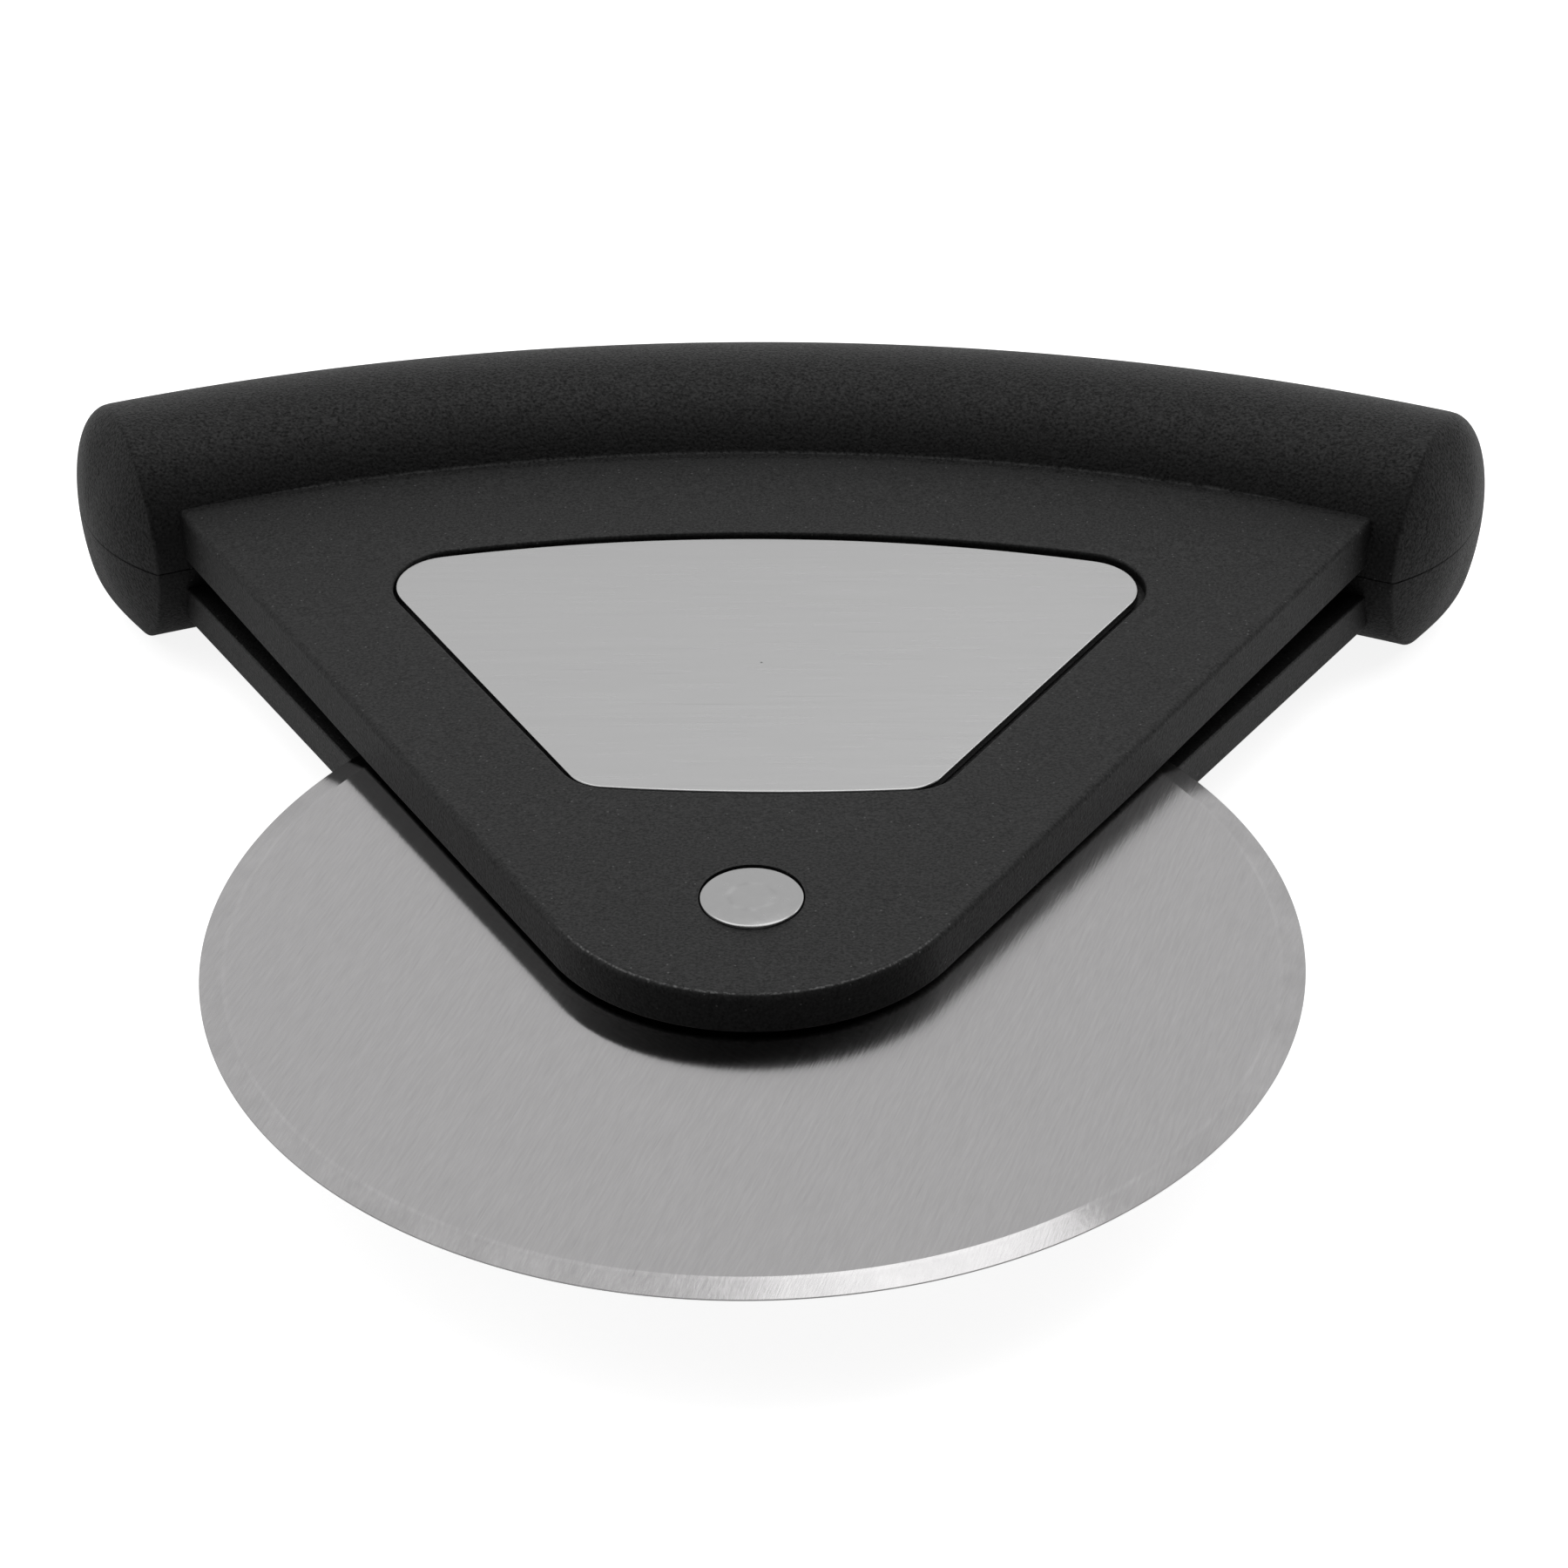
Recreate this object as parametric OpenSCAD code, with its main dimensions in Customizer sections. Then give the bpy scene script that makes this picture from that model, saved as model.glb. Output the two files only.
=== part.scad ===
// Palm-held pizza wheel in the form of a pizza slice: an arched crust is the
// handle, two flat plates are the slice, and a round blade spins between them.
// Origin: centre of the overall box, on the crust's parting plane and the middle line.
// +Z points out of the front plate, +Y from the blade towards the crust.

/* [Blade] */
// Diameter of the round blade
blade_d = 100; // [90:1:110]
// Thickness of the blade's flat
blade_t = 1; // [0.8:0.1:1.2]
// Width of the ground bevel, measured across the flat
bevel_w = 2.4; // [1:0.1:4]
// Thickness left at the cutting edge
edge_t = 0.15; // [0.1:0.05:0.4]

/* [Slice] */
// Angle between the middle line and each straight side
side_angle = 31.6; // [29:0.1:33]
// Radius of the rounded tip at the outer face
tip_r = 20.4; // [18:0.1:22]
// Distance of the tip's arc centre from the pivot, towards the crust
tip_centre_y = 5.9; // [4:0.1:7]
// Thickness of each plate
plate_t = 4.8; // [4.4:0.1:5.2]
// Height of each outer face above the blade's middle plane, at the pivot
face_z = 5.1; // [4.9:0.1:5.5]
// Angle at which each plate rises towards the crust
splay_angle = 1.35; // [1:0.05:1.6]
// Draft of the side walls
draft_angle = 5; // [3:0.5:7]
// Height of the broken edge round each outer face
edge_break = 0.4; // [0.2:0.1:1]
// Half height of the slot that the blade turns in
slot_half = 0.9; // [0.8:0.05:1]

/* [Crust handle] */
// Radius of the arc that the crust's centre line follows
crust_arc_r = 169; // [150:1:190]
// Distance of the crust's centre line from the pivot, on the middle line
crust_y = 90.2; // [88:0.1:93]
// Diameter of the crust's tube
crust_d = 24.9; // [23:0.1:27]
// Height of the crust's parting plane above the blade's middle plane
crust_lift = 0.5; // [0:0.05:0.7]
// Angle between the middle line and each end of the tube
crust_half_angle = 24; // [23.8:0.05:26]
// Radius of the domed ends
dome_r = 18.4; // [16:0.1:24]
// Wall of the hollow crust
crust_wall = 2.6; // [2:0.1:3.5]
// Thickness of the wall behind each domed end
end_wall = 3; // [2:0.1:4]
// Number of webs across the hollow crust
web_count = 3; // [1:1:5]
// Thickness of each web
web_t = 5; // [4:0.5:7]
// Width and depth of the groove along the parting line
groove = 0.2; // [0.1:0.05:0.4]

/* [Inlay] */
// Thickness of the steel inlay
inlay_t = 0.8; // [0.5:0.1:1]
// Distance of the inlay's straight sides from the slice's
inlay_border = 12.8; // [11:0.1:14]
// Distance of the inlay's top edge from the pivot, on the middle line
inlay_top_y = 62.7; // [61:0.1:64]
// Distance of the inlay's bottom edge from the pivot, on the middle line
inlay_bottom_y = 17.2; // [15:0.1:19]
// Radius of the bow in the inlay's bottom edge
inlay_bow_r = 166; // [120:1:250]
// Radius of the inlay's two top corners
inlay_top_corner = 5.4; // [3:0.1:7]
// Radius of the inlay's two bottom corners
inlay_bottom_corner = 4.2; // [2:0.1:6]
// Thickness of the adhesive pad under the inlay
tape_t = 0.2; // [0.1:0.05:0.3]
// Distance of the pad's outline inside the inlay's
tape_inset = 1.5; // [1:0.1:3]
// Distance of the inlay's face below the plate's
inlay_sink = 0.3; // [0.1:0.05:0.5]
// Distance of the inlay to the left of the middle line, which is play in its recess
inlay_shift = 0.4; // [0:0.05:0.45]

/* [Pivot] */
// Diameter of the rivet's shank
shank_d = 5; // [4:0.1:5.4]
// Diameter of the formed head on the front
head_d = 9.5; // [8.5:0.1:10]
// Thickness of the formed head
head_t = 1.1; // [0.8:0.1:1.4]
// Height of the formed head above the front plate
head_proud = 0.2; // [0.1:0.05:0.6]
// Bevel round the rivet's heads
head_bevel = 0.25; // [0.1:0.05:0.5]
// Diameter of the rivet's rear head
rear_head_d = 9; // [8:0.1:10]
// Thickness of the rear head
rear_head_t = 1; // [0.8:0.1:1.4]
// Depth of the rear head below the rear plate's face
rear_head_sink = 0.25; // [0.2:0.05:0.5]
// Outer diameter of the steel sleeve that the wheel turns on
sleeve_d = 7; // [6.4:0.1:8]
// Outer diameter of the bush pressed into the blade
bush_d = 12; // [10:0.5:14]
// Outer diameter of the two thrust washers
washer_d = 17; // [15:0.5:20]

/* [Fixings] */
// Diameter of the case screws
screw_d = 3; // [2.5:0.1:3.2]
// Length of the case screws under the head
screw_len = 7.5; // [6:0.5:8]
// Diameter of the screws' heads
screw_head_d = 5.6; // [5:0.1:6]
// Height of the screws' heads
screw_head_h = 1.8; // [1.4:0.1:2]
// Width of the cross recess in each head
screw_cross_w = 0.9; // [0.6:0.1:1.2]
// Height of the screws' seats above the blade's middle plane
screw_seat_z = 3; // [2.6:0.1:3.2]
// Distance of the outer screws from the middle line
screw_x = 30; // [26:0.5:32]
// Distance of the screws from the pivot towards the crust
screw_y = 56; // [55.5:0.1:57]
// Diameter of the bosses that the screws pass through
boss_d = 8; // [7:0.5:9]
// Diameter of the pegs that line the two halves up
peg_d = 2.6; // [2:0.1:3]
// Length of the pegs above the parting plane
peg_len = 2.5; // [1.5:0.1:4]

/* [Clearances] */
// Radial gap between the bush and the sleeve
running_gap = 0.05; // [0.03:0.01:0.08]
// Gap between each washer and the blade
thrust_gap = 0.05; // [0.03:0.01:0.1]
// Radial gap round screws, shank and pegs
hole_gap = 0.1; // [0.05:0.05:0.2]
// Gap between the inlay's straight sides and its recess, with the inlay in the middle
recess_side_gap = 0.85; // [0.6:0.05:1]
// Gap between the inlay's top edge and its recess
recess_top_gap = 1.1; // [0.6:0.05:1.3]
// Gap between the inlay's bottom edge and its recess
recess_bottom_gap = 0.45; // [0.3:0.05:0.8]
// How much larger the recess's corner radii are than the inlay's
recess_corner_gap = 1.4; // [0.4:0.05:1.6]
// Radial gap round the rivet's heads and the screws' heads
head_gap = 0.3; // [0.2:0.05:0.4]

/* [Hidden] */
$fn = 96;

// Far enough to cut right through everything
far = 300;
// Overlap that keeps a cut from ending on the face it leaves
eps = 0.05;
// How far the tip's arc stands past the straight sides' tangent, before they trim it
tip_blend = 0.01;

blade_r = blade_d / 2;
tube_r = crust_d / 2;
crust_centre_y = crust_y - crust_arc_r;
pivot_y = (blade_r - crust_y - tube_r) / 2;
dome_depth = dome_r - sqrt(pow(dome_r, 2) - pow(tube_r, 2));
crust_reach = crust_half_angle + 2 * dome_depth / crust_arc_r * 180 / PI;

side_normal = [cos(side_angle), -sin(side_angle)];
side_run = [sin(side_angle), cos(side_angle)];

recess_depth = inlay_sink + inlay_t + tape_t;
inlay_top_r = inlay_top_y - crust_centre_y;
inlay_side_offset = tip_r + side_normal.y * tip_centre_y - inlay_border;

front_head_top = face_z + head_proud;
front_seat_z = front_head_top - head_t;
rear_head_bottom = -face_z + rear_head_sink;
rear_seat_z = rear_head_bottom + rear_head_t;
washer_t = slot_half - blade_t / 2 - thrust_gap;

screw_places = [[-screw_x, screw_y], [0, screw_y], [screw_x, screw_y]];

cavity_half_angle = crust_half_angle - end_wall / crust_arc_r * 180 / PI;
web_half_angle = web_t / 2 / crust_arc_r * 180 / PI;
web_step = 2 * cavity_half_angle / (web_count + 1);
web_angles = [for (i = [1:web_count]) -cavity_half_angle + i * web_step];

// Everything is drawn round the pivot, the blade's middle plane at zero, and then moved to the row's origin
module at_pivot() {
    translate([0, pivot_y, -crust_lift]) children();
}

// Frame of the front plate's outer face: its Z is the face's normal
module on_front_face() {
    translate([0, 0, face_z]) rotate([splay_angle, 0, 0]) children();
}

// Place on the crust's centre line, X outwards and Y along the tube
module on_crust(angle) {
    translate([0, crust_centre_y, 0]) rotate([0, 0, 90 + angle]) translate([crust_arc_r, 0, 0]) children();
}

// Slice outline under the plane z = 0, widening downwards at the given draft
module drafted_slice(face_r, draft, depth) {
    tangent_y = tip_centre_y - (face_r + depth * tan(draft) / 2) * sin(side_angle);
    difference() {
        union() {
            translate([0, tip_centre_y, -depth])
                cylinder(r1 = face_r + tip_blend + depth * tan(draft), r2 = face_r + tip_blend, h = depth);
            translate([-far, tangent_y, -depth]) cube([2 * far, far, depth]);
        }
        for (side = [0, 1]) mirror([side, 0, 0])
            translate([0, tip_centre_y, 0]) rotate([0, 0, -side_angle])
                translate([face_r, 0, 0]) rotate([0, -draft, 0])
                    translate([0, -far, -far]) cube([far, 2 * far, 2 * far]);
    }
}

// One plate of the slice: drafted walls, a broken edge and the blade's slot
module plate() {
    intersection() {
        on_front_face() {
            drafted_slice(tip_r - edge_break * (1 - tan(draft_angle)), 45, edge_break);
            translate([0, 0, -edge_break])
                drafted_slice(tip_r + edge_break * tan(draft_angle), draft_angle, plate_t - edge_break);
        }
        translate([0, crust_centre_y, slot_half]) cylinder(r = crust_arc_r, h = far);
    }
}

// Half of the crust above the parting plane, shrunk by inset, with domed ends
module crust_half(inset) {
    difference() {
        translate([0, crust_centre_y, 0]) rotate([0, 0, 90 - crust_reach])
            rotate_extrude(angle = 2 * crust_reach) translate([crust_arc_r, 0])
                intersection() {
                    circle(r = tube_r - inset);
                    translate([-tube_r, 0]) square([2 * tube_r, tube_r]);
                }
        for (side = [0, 1]) mirror([side, 0, 0]) on_crust(-crust_half_angle)
            difference() {
                translate([-far / 2, dome_depth - far, -far / 2]) cube(far);
                translate([0, dome_r - dome_depth, 0]) sphere(r = dome_r - inset);
            }
    }
}

// Hollow of one crust half, in stretches between the webs
module crust_hollow() {
    stops = concat([-cavity_half_angle - web_half_angle], web_angles, [cavity_half_angle + web_half_angle]);
    for (i = [0:web_count])
        translate([0, crust_centre_y, 0]) rotate([0, 0, 90 + stops[i] + web_half_angle])
            rotate_extrude(angle = stops[i + 1] - stops[i] - 2 * web_half_angle) translate([crust_arc_r, 0])
                intersection() {
                    circle(r = tube_r - crust_wall);
                    translate([-tube_r, -eps]) square([2 * tube_r, tube_r]);
                }
}

// Half of the casing: crust, plate, screw bosses and the way through for the rivet
module shell_half(lift, seat_z, seat_d) {
    difference() {
        union() {
            translate([0, 0, lift]) difference() {
                crust_half(0);
                difference() {
                    translate([-far, -far, -eps]) cube([2 * far, 2 * far, eps + groove / 2]);
                    crust_half(groove);
                }
            }
            plate();
            for (place = screw_places) translate(place) cylinder(d = boss_d, h = screw_seat_z);
        }
        translate([0, 0, lift]) crust_hollow();
        translate([0, 0, -far / 2]) cylinder(r = shank_d / 2 + hole_gap, h = far);
        translate([0, 0, seat_z]) cylinder(r = seat_d / 2 + head_gap, h = far);
    }
}

// Points of an arc, angles from the middle line, positive towards +X
function arc(centre, r, from, to, steps) = [
    for (i = [0:steps])
        let (a = from + (to - from) * i / steps)
            centre + r * [sin(a), cos(a)]
];

// Centre of the corner arc between a straight side and an edge of radius edge_r
function corner_centre(edge_centre, edge_r, corner_r, side_offset, way) =
    let (
        reach = side_offset - corner_r - side_normal * edge_centre,
        along = sqrt(pow(edge_r - corner_r, 2) - pow(reach, 2))
    )
    edge_centre + reach * side_normal + way * along * side_run;

// Outline of the inlay, its straight sides, top edge, bottom edge and corner radii grown
module inlay_outline(side, top_edge, bottom_edge, corners) {
    top_centre = [0, crust_centre_y];
    bow_centre = [0, inlay_bottom_y + inlay_bow_r];
    top_r = inlay_top_r + top_edge;
    bow_r = inlay_bow_r + bottom_edge;
    top_corner = inlay_top_corner + corners;
    bottom_corner = inlay_bottom_corner + corners;
    side_offset = inlay_side_offset + side;
    top = corner_centre(top_centre, top_r, top_corner, side_offset, 1);
    bottom = corner_centre(bow_centre, bow_r, bottom_corner, side_offset, -1);
    top_angle = atan2(top.x - top_centre.x, top.y - top_centre.y);
    bottom_angle = atan2(bottom.x - bow_centre.x, bottom.y - bow_centre.y);
    right = concat(
        arc(top_centre, top_r, 0, top_angle, 10),
        arc(top, top_corner, top_angle, 90 + side_angle, 10),
        arc(bottom, bottom_corner, 90 + side_angle, bottom_angle, 6),
        arc(bow_centre, bow_r, bottom_angle, 180, 5)
    );
    left = [for (i = [len(right) - 2:-1:1]) [-right[i].x, right[i].y]];
    polygon(concat(right, left));
}

module front_shell() {
    color("#242526") at_pivot() difference() {
        shell_half(crust_lift, front_seat_z, head_d);
        on_front_face() translate([0, 0, -recess_depth]) linear_extrude(far)
            inlay_outline(recess_side_gap, recess_top_gap, recess_bottom_gap, recess_corner_gap);
        for (place = screw_places) translate(place) {
            translate([0, 0, -eps]) cylinder(r = screw_d / 2 + hole_gap, h = far);
            translate([0, 0, screw_seat_z]) cylinder(r = screw_head_d / 2 + head_gap, h = far);
        }
        for (angle = web_angles) on_crust(angle)
            translate([0, 0, crust_lift - eps])
                cylinder(r = peg_d / 2 + hole_gap, h = peg_len + head_gap + eps);
    }
}

module rear_shell() {
    color("#202122") at_pivot() mirror([0, 0, 1]) difference() {
        union() {
            shell_half(-crust_lift, -rear_seat_z, rear_head_d);
            for (angle = web_angles) on_crust(angle)
                translate([0, 0, -crust_lift - peg_len]) cylinder(d = peg_d, h = peg_len + eps);
        }
        for (place = screw_places) translate(place)
            translate([0, 0, -eps]) cylinder(d = screw_d, h = screw_len - screw_seat_z + eps + head_gap);
    }
}

module inlay_plate() {
    color("#b9bab9") at_pivot() on_front_face() translate([-inlay_shift, 0, -inlay_sink - inlay_t])
        linear_extrude(inlay_t) inlay_outline(0, 0, 0, 0);
}

module inlay_tape() {
    color("#e8e6dc") at_pivot() on_front_face() translate([-inlay_shift, 0, -recess_depth])
        linear_extrude(tape_t) inlay_outline(-tape_inset, -tape_inset, -tape_inset, -tape_inset);
}

module case_screws() {
    color("#9a9c9e") at_pivot() for (place = screw_places) translate([place.x, place.y, screw_seat_z])
        difference() {
            union() {
                cylinder(d = screw_head_d, h = screw_head_h);
                translate([0, 0, -screw_len]) cylinder(d = screw_d, h = screw_len);
            }
            for (turn = [0, 90]) rotate([0, 0, turn])
                translate([-screw_head_d * 0.3, -screw_cross_w / 2, screw_head_h / 2])
                    cube([screw_head_d * 0.6, screw_cross_w, screw_head_h]);
        }
}

module pivot_rivet() {
    color("#b4b5b6") at_pivot() rotate_extrude() polygon([
        [0, rear_head_bottom],
        [rear_head_d / 2 - head_bevel, rear_head_bottom],
        [rear_head_d / 2, rear_head_bottom + head_bevel],
        [rear_head_d / 2, rear_seat_z],
        [shank_d / 2, rear_seat_z],
        [shank_d / 2, front_seat_z],
        [head_d / 2, front_seat_z],
        [head_d / 2, front_head_top - head_bevel],
        [head_d / 2 - head_bevel, front_head_top],
        [0, front_head_top]
    ]);
}

// Flat ring round the pivot
module ring(inner_r, outer_r, z_from, z_to) {
    rotate_extrude() translate([inner_r, z_from]) square([outer_r - inner_r, z_to - z_from]);
}

module pivot_sleeve() {
    color("#a9abad") at_pivot() ring(shank_d / 2 + hole_gap, sleeve_d / 2, -slot_half, slot_half);
}

module front_washer() {
    color("#e4e2da") at_pivot()
        ring(sleeve_d / 2 + hole_gap, washer_d / 2, slot_half - washer_t, slot_half);
}

module rear_washer() {
    color("#e4e2da") at_pivot()
        ring(sleeve_d / 2 + hole_gap, washer_d / 2, -slot_half, washer_t - slot_half);
}

module blade() {
    color("#a6a6a7") at_pivot() rotate_extrude($fn = 180) polygon([
        [bush_d / 2, -blade_t / 2],
        [blade_r - bevel_w, -blade_t / 2],
        [blade_r, -edge_t / 2],
        [blade_r, edge_t / 2],
        [blade_r - bevel_w, blade_t / 2],
        [bush_d / 2, blade_t / 2]
    ]);
}

module blade_bush() {
    color("#dedcd2") at_pivot() ring(sleeve_d / 2 + running_gap, bush_d / 2, -blade_t / 2, blade_t / 2);
}

front_shell();
rear_shell();
inlay_plate();
inlay_tape();
case_screws();
pivot_rivet();
pivot_sleeve();
front_washer();
rear_washer();
blade();
blade_bush();
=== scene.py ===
"""Looks of a palm-held pizza wheel in the form of a pizza slice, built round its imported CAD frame.

Sizes are millimetres about the pivot, with the blade's middle plane at zero. `Row.metres` moves them to the
row frame, where +Z points out of the plate that carries the inlay and +Y from the blade towards the crust.
"""

import logging
import math
from collections.abc import Callable
from dataclasses import dataclass, field
from enum import Enum

import bmesh
import bpy
import numpy as np
from mathutils import Matrix, Vector


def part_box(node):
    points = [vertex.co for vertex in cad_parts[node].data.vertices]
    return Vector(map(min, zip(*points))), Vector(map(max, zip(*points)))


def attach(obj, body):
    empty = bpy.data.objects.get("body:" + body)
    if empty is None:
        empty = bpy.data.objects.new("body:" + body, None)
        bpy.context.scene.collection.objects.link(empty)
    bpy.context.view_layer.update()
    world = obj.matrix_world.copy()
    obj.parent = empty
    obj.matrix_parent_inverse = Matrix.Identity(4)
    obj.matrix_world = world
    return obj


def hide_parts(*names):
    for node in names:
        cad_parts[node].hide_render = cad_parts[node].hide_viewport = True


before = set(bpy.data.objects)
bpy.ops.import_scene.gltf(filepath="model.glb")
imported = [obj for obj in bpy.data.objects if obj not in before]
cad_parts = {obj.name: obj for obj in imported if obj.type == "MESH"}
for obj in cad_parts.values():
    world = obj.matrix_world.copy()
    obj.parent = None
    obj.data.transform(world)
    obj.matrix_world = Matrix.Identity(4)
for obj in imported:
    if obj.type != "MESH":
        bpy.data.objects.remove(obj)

LOG = logging.getLogger("scene")
Pair = tuple[float, float]
Pairs = tuple[Pair, ...]
Triple = tuple[float, float, float]
# Start and end of a range, and the values at both
Span = tuple[float, float, float, float]
Profile = list[Pair]
Socket = bpy.types.NodeSocket
Fill = Callable[["Tree", Socket, Socket], dict[str, Socket]]

# A millimetre in metres
MM = 0.001
# Range that most values of a noise texture fall in
NOISE = (0.3, 0.7)
# Height outside every face, where a tool that cuts outwards ends, in millimetres
OUTSIDE = 9.0
# How far a tool or a joined shape passes the plane that it starts from, in millimetres
OVERLAP = 0.05


class Body(Enum):
    """Bodies of the frame that the pieces ride on."""

    HANDLE = "handle"
    WHEEL = "wheel"


class Side(Enum):
    """The two plates of the casing, by the sign of their height."""

    FRONT = 1
    REAR = -1


def grid_faces(rows: int, columns: int, wrap: bool = False) -> np.ndarray:
    """Quads between the neighbours of a grid of points stored row by row.

    Args:
        rows: Number of rows.
        columns: Number of points in a row.
        wrap: Whether each row closes on itself.

    Returns:
        One row of four indices for each quad.
    """
    steps = columns if wrap else columns - 1
    row, column = np.meshgrid(np.arange(rows - 1), np.arange(steps), indexing="ij")
    after = (column + 1) % columns
    near, far = row * columns, (row + 1) * columns
    return np.stack([near + column, near + after, far + after, far + column], axis=-1).reshape(-1, 4)


def fan_faces(pole: int, ring: np.ndarray) -> np.ndarray:
    """Triangles from one pole to each edge of a closed ring of indices."""
    return np.stack([np.full(len(ring), pole), ring, np.roll(ring, -1)], axis=-1)


def tube_faces(rows: int, columns: int) -> list[np.ndarray]:
    """Faces of a tube of closed rows, with a flat cap on both ends."""
    ring = np.arange(columns)
    return [grid_faces(rows, columns, wrap=True), ring[None, :], (ring + (rows - 1) * columns)[None, ::-1]]


@dataclass
class Shape:
    """A closed mesh in the making."""

    points: np.ndarray
    faces: list[np.ndarray]

    def moved(self, x: float = 0.0, y: float = 0.0, z: float = 0.0) -> "Shape":
        """The shape moved by the given millimetres."""
        return Shape(self.points + np.array([x, y, z]), self.faces)

    def on(self, side: Side) -> "Shape":
        """The shape as drawn for the front, or its mirror image for the rear."""
        return Shape(self.points * np.array([1, 1, side.value]), self.faces)

    def mesh(self, name: str, row: "Row") -> bpy.types.Mesh:
        """A mesh of the shape in the row frame, with its faces turned outwards."""
        mesh = bpy.data.meshes.new(name)
        faces = [face for block in self.faces for face in block.tolist()]
        mesh.from_pydata(row.metres(self.points).tolist(), [], faces)
        work = bmesh.new()
        work.from_mesh(mesh)
        bmesh.ops.recalc_face_normals(work, faces=work.faces)
        work.to_mesh(mesh)
        work.free()
        return mesh


@dataclass(frozen=True)
class Row:
    """Place of the pivot and of the blade's middle plane in the row frame."""

    pivot: Triple

    def metres(self, points: np.ndarray) -> np.ndarray:
        """Points about the pivot, in millimetres, as points of the row frame, in metres."""
        return points * MM + np.array(self.pivot)


def lathe(profile: Profile, segments: int) -> Shape:
    """Solid of revolution round the pivot's axis.

    Args:
        profile: Radius and height of each point, from pole to pole or round a closed ring.
        segments: Number of steps round the axis.

    Returns:
        The closed shape.
    """
    line = np.array(profile, float)
    poles = line[0, 0] == 0 and line[-1, 0] == 0
    inner = line[1:-1] if poles else np.vstack([line, line[:1]])
    angle = np.arange(segments) * 2 * np.pi / segments
    ring = inner[:, None, :1] * np.stack([np.cos(angle), np.sin(angle)], axis=-1)
    height = np.broadcast_to(inner[:, None, 1:], (len(inner), segments, 1))
    points = np.concatenate([ring, height], axis=-1).reshape(-1, 3)
    faces = [grid_faces(len(inner), segments, wrap=True)]
    if not poles:
        count = (len(inner) - 1) * segments
        return Shape(points[:count], [faces[0] % count])
    first, last = len(points), len(points) + 1
    points = np.vstack([points, [0, 0, line[0, 1]], [0, 0, line[-1, 1]]])
    rim = np.arange(segments)
    faces += [fan_faces(first, rim), fan_faces(last, rim + (len(inner) - 1) * segments)]
    return Shape(points, faces)


def drum(radius: float, low: float, high: float, segments: int = 64) -> Shape:
    """A plain cylinder, as a tool to join or cut."""
    return lathe([(0.0, low), (radius, low), (radius, high), (0.0, high)], segments)


def rounded(centre: Pair, radius: float, start: float, end: float, steps: int = 5) -> Profile:
    """Points of a round edge on a profile, angles in degrees from the first axis."""
    angles = np.radians(np.linspace(start, end, steps + 1))
    return [(centre[0] + radius * math.cos(a), centre[1] + radius * math.sin(a)) for a in angles]


def new_object(name: str, data: bpy.types.ID) -> bpy.types.Object:
    """An object of a mesh, lamp or camera, linked to the scene."""
    made = bpy.data.objects.new(name, data)
    bpy.context.scene.collection.objects.link(made)
    return made


def carve(name: str, row: Row, base: Shape, add: list[Shape], cut: list[Shape]) -> bpy.types.Object:
    """Joins shapes to a base and then cuts shapes out of it.

    Args:
        name: Name of the object.
        row: The row frame.
        base: The shape to start from.
        add: Shapes to join to it, in order.
        cut: Shapes to cut from it, in order.

    Returns:
        The object, with the operations applied.
    """
    made = new_object(name, base.mesh(name, row))
    tools = []
    for shape, operation in [(s, "UNION") for s in add] + [(s, "DIFFERENCE") for s in cut]:
        tool = new_object("tool", shape.mesh("tool", row))
        modifier = made.modifiers.new("carve", "BOOLEAN")
        modifier.operation, modifier.solver, modifier.object = operation, "MANIFOLD", tool
        tools.append(tool)
    bpy.context.view_layer.update()
    source = made.evaluated_get(bpy.context.evaluated_depsgraph_get())
    result = bpy.data.meshes.new_from_object(source)
    made.modifiers.clear()
    made.data = result
    for tool in tools:
        bpy.data.meshes.remove(tool.data)
    return made


def dress(
    made: bpy.types.Object,
    finish: "Finish",
    body: Body,
    nodes: tuple[str, ...],
    sharp: float = 30.0,
) -> None:
    """Shades a piece, gives it its finish and puts it on its body.

    Args:
        made: The piece, in place.
        finish: Its surface.
        body: The body that it rides on.
        nodes: CAD nodes that it stands for.
        sharp: Angle above which an edge stays sharp, in degrees.
    """
    mesh = made.data
    mesh.polygons.foreach_set("use_smooth", np.ones(len(mesh.polygons), bool))
    mesh.set_sharp_from_angle(angle=math.radians(sharp))
    modifier = made.modifiers.new("normals", "WEIGHTED_NORMAL")
    modifier.keep_sharp = True
    mesh.materials.clear()
    mesh.materials.append(finish.material())
    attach(made, body.value)
    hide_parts(*nodes)
    LOG.info("%s: %d faces, on %s", made.name, len(mesh.polygons), body.value)


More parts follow.
